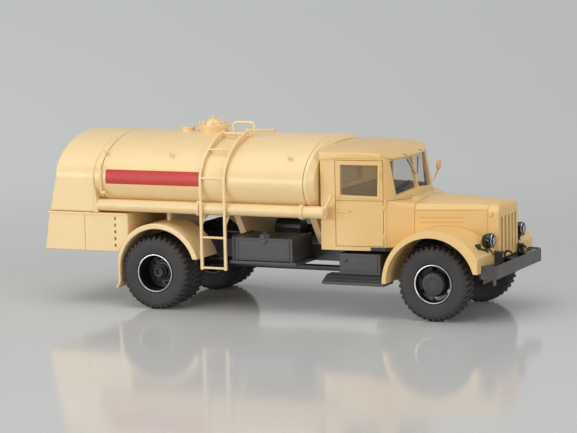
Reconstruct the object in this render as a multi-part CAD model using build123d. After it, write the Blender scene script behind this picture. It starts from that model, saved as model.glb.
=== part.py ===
from build123d import *
import math
import os

os.makedirs("parts", exist_ok=True)

# A 1:43 scale model of a bonneted tank truck, in millimetres.
# X points forward, Y to the left and Z up; the origin is under the middle, on the ground.

# Beyond any piece, and how flat four corners lie
REACH = 200.0
FLATNESS = 1e-6

# Driving sizes
WHEELBASE = 105.1
FRONT_OVERHANG = 23.5
REAR_OVERHANG = 45.4
HALF_WIDTH = 31.1
REAR_AXLE_X = (REAR_OVERHANG - FRONT_OVERHANG - WHEELBASE) / 2
FRONT_AXLE_X = REAR_AXLE_X + WHEELBASE
BUMPER_FRONT_X = FRONT_AXLE_X + FRONT_OVERHANG
CABINET_REAR_X = REAR_AXLE_X - REAR_OVERHANG
CAB_REAR_X = FRONT_AXLE_X - 42.1

# Clearances
SEAT_GAP = 0.05
RUNNING_GAP = 0.3
BEARING_GAP = 0.05

# Panel lines
GROOVE = 0.25
GROOVE_DEPTH = 0.2

# Wheels
TYRE_R = 13.1
TYRE_HALF = 3.8
TREAD_HALF = 3.3
LUG_COUNT = 12
LUG_DEPTH = 0.9
RIB_HALF = 0.5
SHOULDER_SLOPE = 45.0
RIM_SIDES = 16
HUB_SIDES = 12
RIM_R = 6.95
RIM_WALL = 0.55
RIM_HALF = 3.4
RIM_WEB = 0.9
FRONT_TRACK_HALF = 22.2
TWIN_INNER_Y = 18.9
TWIN_OUTER_Y = 27.25
HUB_R = 4.0
HUB_FACE = 3.0
REAR_HUB_R = 2.6
REAR_HUB_FACE = 0.6
INNER_BOSS_R = 3.0
STUB_R = 1.2
AXLE_Z = TYRE_R

# Chassis
RAIL_INNER_Y = 9.0
RAIL_OUTER_Y = 11.4
RAIL_BOTTOM_Z = 17.5
RAIL_TOP_Z = 23.3
RAIL_WALL = 0.9
RAIL_REAR_X = REAR_AXLE_X - 40.0
RAIL_FRONT_X = BUMPER_FRONT_X - 3.2
CROSS_MEMBER_WIDTH = 3.0
BOSS_R = 3.0
BOSS_BOTTOM_Z = 13.5
SCREW_R = 1.25
SCREW_DEPTH = 5.5
REAR_BOSS_X = REAR_AXLE_X - 17.0
FRONT_BOSS_X = FRONT_AXLE_X + 15.5

# Tank
TANK_HALF_WIDTH = 29.9
TANK_HALF_HEIGHT = 15.3
TANK_Z = 46.5
TANK_REAR_X = REAR_AXLE_X - 24.0
TANK_DOME = 1.8
TANK_CAB_GAP = 0.9
TANK_FRONT_X = CAB_REAR_X - TANK_CAB_GAP - TANK_DOME
TANK_DOME_STEP = 1.6

# Rear housing and lower cabinet
HOUSING_REAR_X = REAR_AXLE_X - 40.4
HOUSING_FLARE_X = REAR_AXLE_X - 43.2
CABINET_TOP_Z = 34.2
CABINET_BOTTOM_Z = 20.0
CABINET_FRONT_X = REAR_AXLE_X - 10.9
CABINET_HALF_WIDTH = TANK_HALF_WIDTH
CABINET_DOOR_XS = (REAR_AXLE_X - 28.5, REAR_AXLE_X - 17.0)
LOUVRE_X = REAR_AXLE_X - 15.4
LOUVRE_COUNT = 5
LOUVRE_PITCH = 2.5
LOUVRE_WIDTH = 0.7
LOUVRE_HEIGHT = 1.2
REAR_DOOR_HALF = 25.0
REAR_DOOR_TOP_Z = 52.0
LEDGE = 0.4
LEDGE_HEIGHT = 0.8

# Rear mudguards
MUDGUARD_X = REAR_AXLE_X + 1.0
MUDGUARD_Z = AXLE_Z + 1.1
MUDGUARD_R = 15.0
MUDGUARD_THICK = 1.9
MUDGUARD_INNER_Y = 14.6
MUDGUARD_FRONT_Z = AXLE_Z + 5.6
MUDGUARD_TAIL_Z = 7.0
MUDGUARD_TAIL_FLARE = 1.4

# Cab
CAB_LENGTH = 23.7
CAB_FRONT_X = CAB_REAR_X + CAB_LENGTH
COWL_LENGTH = 8.6
COWL_FRONT_X = CAB_FRONT_X + COWL_LENGTH
CAB_HALF_WIDTH = 24.5
CAB_WALL = 1.2
CAB_BOTTOM_Z = 23.5
BELT_Z = 42.4
DRIP_Z = 55.8
COWL_HALF_WIDTH = 17.2
COWL_EDGE_Z = 41.0
DOOR_REAR_X = CAB_REAR_X + 5.5
DOOR_FRONT_X = CAB_FRONT_X - 0.3
DOOR_BOTTOM_Z = CAB_BOTTOM_Z + 1.4
HINGE_R = 0.4
HINGE_LENGTH = 1.8
HINGE_ZS = (28.5, 40.0, 51.5)
SCREEN_HALF_WIDTH = 15.5
SCREEN_BASE_X = CAB_FRONT_X + 1.2
SCREEN_V = 2.0
SCREEN_RAKE = 2.2
PILLAR_HALF = 0.55
SCREEN_SILL = 1.1
SCREEN_HEADER = 1.5
SIDE_WINDOW_REAR_X = CAB_REAR_X + 7.3
SIDE_WINDOW_FRONT_X = CAB_FRONT_X - 1.7
SIDE_WINDOW_BOTTOM_Z = 42.9
SIDE_WINDOW_TOP_Z = 53.9
REAR_WINDOW_HALF = 11.0
REAR_WINDOW_BOTTOM_Z = 44.5
REAR_WINDOW_TOP_Z = 52.5
GLASS_THICK = 0.5
ROOF_EDGE = 1.9
ROOF_CROWN = 4.1
ROOF_OVERHANG = 0.3
VISOR = 1.6
ROOF_SKIRT = 4.2
ROOF_SKIRT_DROP = 0.9
FLOOR_THICK = 1.2
DASH_TOP_Z = 42.0

# Bonnet and grille shell
BONNET_FRONT_X = FRONT_AXLE_X + 14.7
BONNET_FRONT_HALF = 10.1
BONNET_BOTTOM_Z = 22.0
BONNET_WALL = 1.3
BONNET_EDGE_Z = 39.7
CROWN_RATIO = 0.09
BONNET_EDGE_IN = 1.1
BONNET_CREASE_DROP = 2.1
BONNET_DROP = 0.5
CROWN_STEPS = 6
PRESSING_REAR_X = COWL_FRONT_X + 2.0
PRESSING_LENGTH = 13.5
PRESSING_ZS = (34.6, 33.0)
GRILLE_FRONT_X = FRONT_AXLE_X + 18.8
GRILLE_FRONT_HALF = 9.6
GRILLE_BOW = 0.8
LATCH_Z = 36.8
GRILLE_BOTTOM_Z = 20.6
SLOT_COUNT = 5
SLOT_PITCH = 3.5
SLOT_WIDTH = 1.4
SLOT_BOTTOM_Z = 22.3
SLOT_TOP_Z = 36.0
CORE_THICK = 1.0

# Front fenders
ARCH_SIDES = 48
FENDER_INNER_R = 16.4
FENDER_OUTER_R = 19.0
FENDER_OUTER_SHIFT = 1.1
FENDER_HALF_WIDTH = 28.5
FENDER_INNER_Y = BONNET_FRONT_HALF + 0.2
FENDER_REAR_Z = 12.9
FENDER_FRONT_Z = 17.6
FENDER_FRONT_X = FRONT_AXLE_X + 17.4

# Bumper, hooks and lamps
BUMPER_BOTTOM_Z = 15.4
BUMPER_TOP_Z = 20.1
BUMPER_DEPTH = 3.0
BUMPER_STRAIGHT_HALF = 24.0
BUMPER_HALF_WIDTH = 28.3
BUMPER_SWEEP = 4.8
LAMP_Y = 16.1
LAMP_Z = 27.5
LAMP_R = 2.65
LAMP_REAR_X = FRONT_AXLE_X + 15.3
LAMP_LENGTH = 4.6
LAMP_RIM = 1.6
LAMP_BACK_R = 1.3
LAMP_SIDES = 12
SIDE_LAMP_Y = 21.6
SIDE_LAMP_R = 1.1
MIRROR_R = 1.9

# Boxes beside the frame
FUEL_BOX_REAR_X = REAR_AXLE_X + 31.7
FUEL_BOX_LENGTH = 20.4
FUEL_BOX_OUTER_Y = 28.0
FUEL_BOX_BOTTOM_Z = 18.8
FUEL_BOX_TOP_Z = 27.1
TRAY_THICK = 1.2
TRAY_LIP = 0.8
STEP_BOX_REAR_X = FRONT_AXLE_X - 35.7
STEP_BOX_LENGTH = 15.7
STEP_BOX_OUTER_Y = 24.0
STEP_BOX_BOTTOM_Z = 14.9
STEP_BOX_TOP_Z = 22.4
STEP_BOARD_REAR_X = FRONT_AXLE_X - 40.4
STEP_BOARD_LENGTH = 21.8
STEP_BOARD_OUTER_Y = 28.8
STEP_BOARD_BOTTOM_Z = 11.9
STEP_BOARD_THICK = 1.0

# Hose tubes along both sides of the tank
TUBE_R = 2.2
TUBE_SIDES = 12
TUBE_Y = TANK_HALF_WIDTH - TUBE_R
TUBE_Z = TANK_Z - 9.6
TUBE_FRONT_X = CAB_REAR_X + 2.0
CLAMP_WIDTH = 1.6
CLAMP_WALL = 0.45
CLAMP_SIDES = 12
CLAMP_XS = (REAR_AXLE_X + 17.0, TANK_FRONT_X - 3.0)

# Ladder, handrail and tank top
LADDER_REAR_X = REAR_AXLE_X + 19.1
LADDER_WIDTH = 9.3
RAIL_BAR = 1.0
LADDER_Y = TANK_HALF_WIDTH + 0.65
LADDER_BOTTOM_Z = 15.3
LADDER_RISE = TANK_HALF_HEIGHT + 2.0
LADDER_TOP_Y = 10.0
RUNG_R = 0.4
RUNG_HEIGHTS = (16.0, 26.9, 37.4, 48.0)
RUNG_TOP_YS = (24.5, 10.6)
STRAP_THICK = 0.5
STRAP_GAP = 0.15
SHOULDER_STEPS = 8
MANHOLE_X = REAR_AXLE_X + 10.0
MANHOLE_NECK_R = 5.2
MANHOLE_FLANGE_R = 5.9
MANHOLE_FLANGE_Z = 63.6
MANHOLE_SIDES = 16
LID_STEPS = ((5.9, 0.6), (4.2, 1.7), (2.2, 2.6), (1.0, 3.9))
FILLER_X = REAR_AXLE_X - 0.5
FILLER_R = 2.4
FILLER_TOP_Z = 63.1
LUG_Y = 22.0
LUG_XS = (TANK_REAR_X + 3.4, REAR_AXLE_X + 5.8, TANK_FRONT_X - 9.6)
HANDRAIL_REAR_X = REAR_AXLE_X + 22.4
HANDRAIL_LENGTH = 8.2
HANDRAIL_Y = 9.0
HANDRAIL_TOP_Z = 66.6
HANDRAIL_R = 0.5
HANDRAIL_BEND = 1.2


def block(x0, x1, y0, y1, z0, z1):
    """A box between two corners."""
    return Pos((x0 + x1) / 2, (y0 + y1) / 2, (z0 + z1) / 2) * Box(x1 - x0, y1 - y0, z1 - z0)


def plane_x(x):
    """A plane across the truck, its own x along Y and its own y along Z."""
    return Plane(origin=(x, 0, 0), x_dir=(0, 1, 0), z_dir=(1, 0, 0))


def plane_y(y):
    """A plane along the truck, its own x along X and its own y along Z."""
    return Plane(origin=(0, y, 0), x_dir=(1, 0, 0), z_dir=(0, -1, 0))


def outline(points):
    """A closed face from corner points."""
    return make_face(Polyline(*points, close=True))


def prism_x(face, x0, x1):
    """A face drawn in (Y, Z), run from x0 to x1."""
    return extrude(plane_x(x0) * face, amount=x1 - x0)


def prism_y(face, y0, y1):
    """A face drawn in (X, Z), run from y0 to y1."""
    return extrude(plane_y(y1) * face, amount=y1 - y0)


def prism_z(face, z0, z1):
    """A face drawn in (X, Y), run from z0 to z1."""
    return extrude(Plane.XY.offset(z0) * face, amount=z1 - z0)


def flat_loft(first, second):
    """A solid between two outlines with as many corners, its sides flat or folded once."""
    faces = [outline(first), outline(second)]
    for n in range(len(first)):
        a, b, c, d = first[n - 1], first[n], second[n], second[n - 1]
        along, up, across = [Vector(*corner) - Vector(*a) for corner in (b, d, c)]
        flat = abs(along.cross(up).dot(across)) < FLATNESS
        rings = [(a, b, c, d)] if flat else [(a, b, c), (a, c, d)]
        faces += [outline(ring) for ring in rings]
    return Solid(Shell([face for item in faces for face in item.faces()]))


def rod(start, end, radius):
    """A round bar between two points."""
    start, end = Vector(*start), Vector(*end)
    axis = end - start
    return extrude(Plane(origin=start, z_dir=axis) * Circle(radius), amount=axis.length)


def disc_y(x, y0, y1, z, radius):
    """A round disc or pin whose axis runs across the truck."""
    return rod((x, y0, z), (x, y1, z), radius)


def bar(start, end, radius, sides=6):
    """A slim bar between two points, with flats in place of a round skin."""
    start, end = Vector(*start), Vector(*end)
    axis = end - start
    return extrude(Plane(origin=start, z_dir=axis) * RegularPolygon(radius, sides), amount=axis.length)


def bar_y(x, y0, y1, z, radius, sides=6):
    """A slim bar or a small disc across the truck."""
    return bar((x, y0, z), (x, y1, z), radius, sides)


def mirrored(solid):
    """The same piece on the other side of the truck."""
    return mirror(solid, about=Plane.XZ)


def pair(solid):
    """A piece and its mirror image, as two solids."""
    return [solid, mirrored(solid)]


def frame_line(x0, x1, z0, z1, y0, y1):
    """A rectangular panel line, as the solid that cuts it."""
    return block(x0, x1, y0, y1, z0, z1) - block(
        x0 + GROOVE, x1 - GROOVE, y0 - 1, y1 + 1, z0 + GROOVE, z1 - GROOVE
    )


def scored(body, cutter, inward):
    """A body with a groove as deep as a panel line, where a cutter crosses its skin."""
    return body - (cutter - Pos(*[GROOVE_DEPTH * step for step in inward]) * body)


def save(name, solids):
    """Write one node, made of one solid or of several that do not touch."""
    solids = solids if isinstance(solids, list) else [solids]
    loose = [s for item in solids for s in item.solids()]
    shape = loose[0] if len(loose) == 1 else Compound(children=loose)
    shape.label = name
    export_step(shape, f"parts/{name}.step")


def tank_face(grow):
    """The tank's elliptical section, grown all round."""
    return Pos(0, TANK_Z) * Ellipse(TANK_HALF_WIDTH + grow, TANK_HALF_HEIGHT + grow)


def tank_height(y, grow=0.0):
    """The height of the tank's skin at a distance from its middle line."""
    share = y / (TANK_HALF_WIDTH + grow)
    return TANK_Z + (TANK_HALF_HEIGHT + grow) * math.sqrt(1 - share * share)


# Wheels

def tread_face(x, radii):
    """A wheel outline in (X, Z) whose flats take the radii in turn, with a corner at the foot."""
    step = math.pi / LUG_COUNT
    points = []
    for n in range(2 * LUG_COUNT):
        radius = radii[n % len(radii)]
        for angle in (n * step, (n + 1) * step):
            points.append((x + radius * math.cos(angle), AXLE_Z + radius * math.sin(angle)))
    return outline([point for n, point in enumerate(points) if point != points[n - 1]])


def tyre(x, y):
    """One tyre, with lugs that alternate on both sides of a middle rib."""
    floor_r = TYRE_R - LUG_DEPTH
    body = prism_y(tread_face(x, (TYRE_R,)), y - RIB_HALF, y + RIB_HALF)
    body += prism_y(tread_face(x, (TYRE_R, floor_r)), y + RIB_HALF, y + TREAD_HALF)
    body += prism_y(tread_face(x, (floor_r, TYRE_R)), y - TREAD_HALF, y - RIB_HALF)
    for end in (-1, 1):
        face = Plane(origin=(0, y + end * TREAD_HALF, 0), x_dir=(1, 0, 0), z_dir=(0, -1, 0)) * tread_face(x, (floor_r,))
        body += extrude(face, amount=-end * (TYRE_HALF - TREAD_HALF), taper=SHOULDER_SLOPE)
    return body - bar_y(x, y - TYRE_HALF - 1, y + TYRE_HALF + 1, AXLE_Z, RIM_R + BEARING_GAP, RIM_SIDES)


def front_rim(side):
    """A steel disc wheel with its broad drum hub nearly flush with the rim."""
    x, y, z = FRONT_AXLE_X, side * FRONT_TRACK_HALF, AXLE_Z
    inside = RIM_R - RIM_WALL
    rim = bar_y(x, y - RIM_HALF, y + RIM_HALF, z, RIM_R, RIM_SIDES)
    for end in (-1, 1):
        rim -= bar_y(x, y + end * RIM_WEB / 2, y + end * (RIM_HALF + 1), z, inside, RIM_SIDES)
    rim += bar_y(x, y, y + side * HUB_FACE, z, HUB_R, HUB_SIDES)
    rim += bar_y(x, y, y - side * HUB_FACE, z, INNER_BOSS_R, HUB_SIDES)
    return rim - disc_y(x, y - side * (HUB_FACE + 1), y + side * (HUB_FACE - 1.0), z, STUB_R + BEARING_GAP)


def rear_rims(side):
    """The twin rims, deeply dished and bolted back to back, with a small hub."""
    x, z = REAR_AXLE_X, AXLE_Z
    inside = RIM_R - RIM_WALL
    inner, outer = TWIN_INNER_Y, TWIN_OUTER_Y
    middle = (inner + outer) / 2
    rim = bar_y(x, side * (inner - RIM_HALF), side * (outer + RIM_HALF), z, RIM_R, RIM_SIDES)
    rim -= bar_y(x, side * (middle + RIM_WEB), side * (outer + RIM_HALF + 1), z, inside, RIM_SIDES)
    rim -= bar_y(x, side * (inner - RIM_HALF - 1), side * (middle - RIM_WEB), z, inside, RIM_SIDES)
    rim += bar_y(x, side * middle, side * (outer + REAR_HUB_FACE), z, REAR_HUB_R, HUB_SIDES)
    rim += bar_y(x, side * (inner - 1.0), side * middle, z, INNER_BOSS_R, HUB_SIDES)
    return rim - disc_y(x, side * (inner - 2.0), side * (outer + REAR_HUB_FACE - 1.0), z, STUB_R + BEARING_GAP)


# Chassis

def channel_rail():
    """One frame rail, a channel open towards the middle."""
    rail = block(RAIL_REAR_X, RAIL_FRONT_X, RAIL_INNER_Y, RAIL_OUTER_Y, RAIL_BOTTOM_Z, RAIL_TOP_Z)
    web_y = RAIL_OUTER_Y - RAIL_WALL
    return rail - block(
        RAIL_REAR_X, RAIL_FRONT_X, RAIL_INNER_Y, web_y, RAIL_BOTTOM_Z + RAIL_WALL, RAIL_TOP_Z - RAIL_WALL
    )


CROSS_MEMBER_XS = (
    RAIL_REAR_X + CROSS_MEMBER_WIDTH / 2,
    REAR_BOSS_X,
    REAR_AXLE_X + 28.0,
    FRONT_AXLE_X - 26.0,
)


def chassis_frame():
    """The ladder frame, with two bosses that take the screws of a display base."""
    frame = channel_rail() + mirrored(channel_rail())
    web_y = RAIL_OUTER_Y - RAIL_WALL
    for x in CROSS_MEMBER_XS:
        half = CROSS_MEMBER_WIDTH / 2
        frame += block(x - half, x + half, -web_y, web_y, RAIL_BOTTOM_Z + RAIL_WALL, RAIL_TOP_Z - RAIL_WALL)
    boss_top = GRILLE_BOTTOM_Z - RUNNING_GAP
    front_x = FRONT_BOSS_X + BOSS_R
    frame += block(FRONT_BOSS_X - BOSS_R, front_x, -web_y, web_y, RAIL_BOTTOM_Z, boss_top)
    for x in (REAR_BOSS_X, FRONT_BOSS_X):
        frame += bar((x, 0, BOSS_BOTTOM_Z), (x, 0, boss_top), BOSS_R)
        frame -= rod((x, 0, BOSS_BOTTOM_Z), (x, 0, BOSS_BOTTOM_Z + SCREW_DEPTH), SCREW_R)
    return frame


FRONT_BEAM_HALF = FRONT_TRACK_HALF - HUB_FACE - RUNNING_GAP
REAR_BEAM_HALF = TWIN_INNER_Y - 1.0 - RUNNING_GAP
BEAM_HALF = 1.5
KNUCKLE_Y = 15.0
KNUCKLE_HALF = 1.9
DIFF_R = 5.4
DIFF_HALF = 3.4
DIFF_NOSE = 2.4
PINION_R = 2.0


def front_axle():
    """The forged beam with its knuckles and the stubs that carry the wheels."""
    x, z = FRONT_AXLE_X, AXLE_Z
    beam = block(x - BEAM_HALF, x + BEAM_HALF, -KNUCKLE_Y, KNUCKLE_Y, z - BEAM_HALF, z + BEAM_HALF)
    stub_end = FRONT_TRACK_HALF + HUB_FACE - 1.0 - RUNNING_GAP
    beam += disc_y(x, -stub_end, stub_end, z, STUB_R)
    for side in (-1, 1):
        beam += bar_y(x, side * KNUCKLE_Y, side * FRONT_BEAM_HALF, z, KNUCKLE_HALF + 0.5)
        pin_y = side * (KNUCKLE_Y + 0.6)
        beam += bar((x, pin_y, z - 3.2), (x, pin_y, z + 3.2), 1.2)
    return beam


def rear_axle():
    """The banjo casing with its round differential and the stubs."""
    x, z = REAR_AXLE_X, AXLE_Z
    stub_end = TWIN_OUTER_Y + REAR_HUB_FACE - 1.0 - RUNNING_GAP
    axle = block(x - BEAM_HALF, x + BEAM_HALF, -REAR_BEAM_HALF, REAR_BEAM_HALF, z - BEAM_HALF, z + BEAM_HALF)
    axle += disc_y(x, -stub_end, stub_end, z, STUB_R)
    axle += bar((x - DIFF_HALF, 0, z), (x + DIFF_HALF, 0, z), DIFF_R, 16)
    return axle + bar((x, 0, z), (x + DIFF_R + DIFF_NOSE, 0, z), PINION_R)


SPRING_Y = (RAIL_INNER_Y + RAIL_OUTER_Y) / 2
SPRING_THICK = 1.5
SPRING_EYE_R = 0.9


LEAF_STEPS = 6


def leaf_spring(x, seat_z, half_length):
    """A leaf pack that lies on its axle and hangs from the rail by both eyes."""
    eye_z = RAIL_BOTTOM_Z - SPRING_EYE_R
    half_width = (RAIL_OUTER_Y - RAIL_INNER_Y) / 2
    shares = [2 * n / LEAF_STEPS - 1 for n in range(LEAF_STEPS + 1)]
    low = [(x + half_length * t, seat_z + (eye_z - 0.3 - seat_z) * t * t) for t in shares]
    top_z = seat_z + SPRING_THICK
    top = [(x + half_length * t, top_z + (eye_z + 0.3 - top_z) * t * t) for t in reversed(shares)]
    spring = prism_y(outline(low + top), SPRING_Y - half_width, SPRING_Y + half_width)
    for end in (-1, 1):
        spring += bar_y(
            x + end * half_length, SPRING_Y - half_width, SPRING_Y + half_width, eye_z, SPRING_EYE_R
        )
    return spring


PROPSHAFT_FRONT_X = FRONT_AXLE_X - 22.0


def propshaft():
    """The shaft from the gearbox back to the differential."""
    start = REAR_AXLE_X + DIFF_R + DIFF_NOSE + SEAT_GAP
    return bar((start, 0, AXLE_Z), (PROPSHAFT_FRONT_X, 0, AXLE_Z), 1.1)


def powertrain():
    """The engine with its sump and gearbox, as one plain block between the rails."""
    half = RAIL_INNER_Y - RUNNING_GAP
    engine = block(FRONT_AXLE_X - 6.0, FRONT_AXLE_X + 12.0, -half, half, AXLE_Z + 3.4, RAIL_TOP_Z)
    engine += block(FRONT_AXLE_X + 2.2, FRONT_AXLE_X + 11.0, -5.5, 5.5, AXLE_Z - 2.6, AXLE_Z + 3.6)
    bell = [
        (PROPSHAFT_FRONT_X + SEAT_GAP, AXLE_Z - 2.6),
        (FRONT_AXLE_X - 12.0, AXLE_Z - 2.6),
        (FRONT_AXLE_X - 5.9, AXLE_Z + 3.4),
        (FRONT_AXLE_X - 5.9, RAIL_TOP_Z - 1.5),
        (PROPSHAFT_FRONT_X + SEAT_GAP, AXLE_Z + 2.4),
    ]
    return engine + prism_y(outline(bell), -4.2, 4.2)


def fuel_box():
    """The fuel box in its tray, with straps and a cap on the top outer edge."""
    x0, x1 = FUEL_BOX_REAR_X, FUEL_BOX_REAR_X + FUEL_BOX_LENGTH
    inner = -(RAIL_OUTER_Y + SEAT_GAP)
    body = block(x0, x1, -FUEL_BOX_OUTER_Y, inner, FUEL_BOX_BOTTOM_Z, FUEL_BOX_TOP_Z)
    body += block(
        x0 - TRAY_LIP, x1 + 3.5 * TRAY_LIP, -FUEL_BOX_OUTER_Y - TRAY_LIP, inner,
        FUEL_BOX_BOTTOM_Z - TRAY_THICK, FUEL_BOX_BOTTOM_Z,
    )
    for x in (x0 + 1.4, x1 - 1.4):
        body += block(x - 0.5, x + 0.5, -FUEL_BOX_OUTER_Y - 0.3, inner, FUEL_BOX_BOTTOM_Z, FUEL_BOX_TOP_Z + 0.3)
    face_y = -FUEL_BOX_OUTER_Y
    body -= frame_line(
        x0 + 2.4, x1 - 2.4, FUEL_BOX_BOTTOM_Z + 0.7, FUEL_BOX_TOP_Z - 0.7, face_y - 1, face_y + GROOVE_DEPTH
    )
    cap_x = (x0 + x1) / 2 + 1.0
    cap_y = -FUEL_BOX_OUTER_Y + 1.0
    body += bar((cap_x, cap_y, FUEL_BOX_TOP_Z - 1.0), (cap_x, cap_y, FUEL_BOX_TOP_Z + 1.2), 1.7, 12)
    return body


def air_reservoir():
    """The round air reservoir slung across the frame behind the cab."""
    x = REAR_AXLE_X + 38.0
    body = bar((x - 5.0, 5.0, RAIL_TOP_Z + 3.5), (x + 5.0, 5.0, RAIL_TOP_Z + 3.5), 3.3, 16)
    for foot in (-3.0, 3.0):
        body += block(x + foot - 0.6, x + foot + 0.6, 4.0, RAIL_OUTER_Y, RAIL_TOP_Z + SEAT_GAP, RAIL_TOP_Z + 2.4)
    return body


def step_box():
    """The locker under the door, with the running board at its foot."""
    x0, x1 = STEP_BOX_REAR_X, STEP_BOX_REAR_X + STEP_BOX_LENGTH
    inner = -(RAIL_OUTER_Y + SEAT_GAP)
    body = block(x0, x1, -STEP_BOX_OUTER_Y, inner, STEP_BOX_BOTTOM_Z, STEP_BOX_TOP_Z)
    face_y = -STEP_BOX_OUTER_Y
    body -= frame_line(
        x0 + 1.0, x1 - 1.0, STEP_BOX_BOTTOM_Z + 1.2, STEP_BOX_TOP_Z - 0.8, face_y - 1, face_y + GROOVE_DEPTH
    )
    board_top = STEP_BOARD_BOTTOM_Z + STEP_BOARD_THICK
    bevel = [
        (-STEP_BOARD_OUTER_Y, board_top - 0.1),
        (-STEP_BOX_OUTER_Y - 0.4, STEP_BOX_BOTTOM_Z),
        (-STEP_BOX_OUTER_Y + 4.0, STEP_BOX_BOTTOM_Z),
        (-STEP_BOX_OUTER_Y + 4.0, STEP_BOARD_BOTTOM_Z),
        (-STEP_BOARD_OUTER_Y, STEP_BOARD_BOTTOM_Z),
    ]
    return body + prism_x(outline(bevel), STEP_BOARD_REAR_X, STEP_BOARD_REAR_X + STEP_BOARD_LENGTH)


# Bumper and hooks

def bumper():
    """The front bumper, straight across with both ends swept back."""
    sweep_x = BUMPER_FRONT_X - BUMPER_SWEEP
    front = [
        (BUMPER_FRONT_X, -BUMPER_STRAIGHT_HALF),
        (BUMPER_FRONT_X, BUMPER_STRAIGHT_HALF),
        (sweep_x, BUMPER_HALF_WIDTH),
        (sweep_x - 1.2, BUMPER_HALF_WIDTH - 1.6),
        (BUMPER_FRONT_X - BUMPER_DEPTH, BUMPER_STRAIGHT_HALF - 1.6),
        (BUMPER_FRONT_X - BUMPER_DEPTH, -BUMPER_STRAIGHT_HALF + 1.6),
        (sweep_x - 1.2, -BUMPER_HALF_WIDTH + 1.6),
        (sweep_x, -BUMPER_HALF_WIDTH),
    ]
    return prism_z(outline(front), BUMPER_BOTTOM_Z, BUMPER_TOP_Z)


HOOK_Y = 6.0
HOOK_R = 1.9
HOOK_EYE_R = 0.9
HOOK_HALF = 0.45
HOOK_MOUTH = 0.7


def tow_hooks():
    """Two open tow hooks that stand on the bumper."""
    x = BUMPER_FRONT_X - HOOK_R - RUNNING_GAP
    z = BUMPER_TOP_Z + SEAT_GAP + HOOK_R
    y0, y1 = HOOK_Y - HOOK_HALF, HOOK_Y + HOOK_HALF
    hook = bar_y(x, y0, y1, z, HOOK_R, 12) - bar_y(x, y0 - 1, y1 + 1, z, HOOK_EYE_R, 12)
    hook -= block(x, x + HOOK_R + 1, y0 - 1, y1 + 1, z, z + HOOK_MOUTH)
    hook += block(x - 1.4, x + 1.4, HOOK_Y - 0.8, HOOK_Y + 0.8, BUMPER_TOP_Z + SEAT_GAP, BUMPER_TOP_Z + 0.6)
    return pair(hook)


# Fenders and mudguards

def fender_void():
    """The round space that the front fenders close off, a hair larger than their skin."""
    x = FRONT_AXLE_X + FENDER_OUTER_SHIFT
    return bar_y(x, -REACH, REACH, AXLE_Z, FENDER_OUTER_R + SEAT_GAP, ARCH_SIDES)


def front_fender():
    """The right front fender, an arch with a lip that thickens towards the front."""
    x = FRONT_AXLE_X + FENDER_OUTER_SHIFT
    arch = bar_y(x, -FENDER_HALF_WIDTH, -FENDER_INNER_Y, AXLE_Z, FENDER_OUTER_R, ARCH_SIDES)
    arch -= bar_y(FRONT_AXLE_X, -FENDER_HALF_WIDTH - 1, -FENDER_INNER_Y + 1, AXLE_Z, FENDER_INNER_R, ARCH_SIDES)
    keep = [
        (FRONT_AXLE_X - 25.0, FENDER_REAR_Z),
        (FRONT_AXLE_X, FENDER_REAR_Z),
        (FRONT_AXLE_X + 8.0, FENDER_FRONT_Z),
        (FENDER_FRONT_X, FENDER_FRONT_Z),
        (FENDER_FRONT_X, AXLE_Z + 25.0),
        (FRONT_AXLE_X - 25.0, AXLE_Z + 25.0),
    ]
    arch = arch & prism_y(outline(keep), -REACH, 0)
    rail_space = block(FRONT_AXLE_X - 25.0, FRONT_AXLE_X + 25.0, -RAIL_OUTER_Y - SEAT_GAP, 0, 0.0, RAIL_TOP_Z + 0.2)
    cab_space = block(
        CAB_REAR_X, COWL_FRONT_X + SEAT_GAP, -CAB_HALF_WIDTH - SEAT_GAP, 0, CAB_BOTTOM_Z - SEAT_GAP, DRIP_Z
    )
    return arch - rail_space - (cab_space - fender_void())


def rear_mudguard():
    """The right rear mudguard, a round arch with a flared tail."""
    outer_r = MUDGUARD_R + MUDGUARD_THICK
    arch = bar_y(MUDGUARD_X, -HALF_WIDTH, -MUDGUARD_INNER_Y, MUDGUARD_Z, outer_r, ARCH_SIDES)
    arch -= bar_y(MUDGUARD_X, -HALF_WIDTH - 1, -MUDGUARD_INNER_Y + 1, MUDGUARD_Z, MUDGUARD_R, ARCH_SIDES)
    keep = [
        (MUDGUARD_X - 20.0, MUDGUARD_Z),
        (MUDGUARD_X, MUDGUARD_Z),
        (MUDGUARD_X, MUDGUARD_FRONT_Z),
        (MUDGUARD_X + 20.0, MUDGUARD_FRONT_Z),
        (MUDGUARD_X + 20.0, MUDGUARD_Z + 20.0),
        (MUDGUARD_X - 20.0, MUDGUARD_Z + 20.0),
    ]
    arch = arch & prism_y(outline(keep), -HALF_WIDTH - 1, 0)
    rear = MUDGUARD_X - MUDGUARD_R
    tail = [
        (rear, MUDGUARD_Z),
        (rear, MUDGUARD_TAIL_Z + 3.0),
        (rear - MUDGUARD_TAIL_FLARE, MUDGUARD_TAIL_Z),
        (rear - MUDGUARD_TAIL_FLARE - 1.0, MUDGUARD_TAIL_Z + 0.2),
        (rear - 1.0, MUDGUARD_TAIL_Z + 4.0),
        (rear - MUDGUARD_THICK, MUDGUARD_Z),
    ]
    return arch + prism_y(outline(tail), -HALF_WIDTH, -MUDGUARD_INNER_Y)


def mudguard_void():
    """The round space that both rear mudguards fill."""
    return bar_y(MUDGUARD_X, -REACH, REACH, MUDGUARD_Z, MUDGUARD_R + MUDGUARD_THICK + SEAT_GAP, ARCH_SIDES)


# Cab

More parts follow.
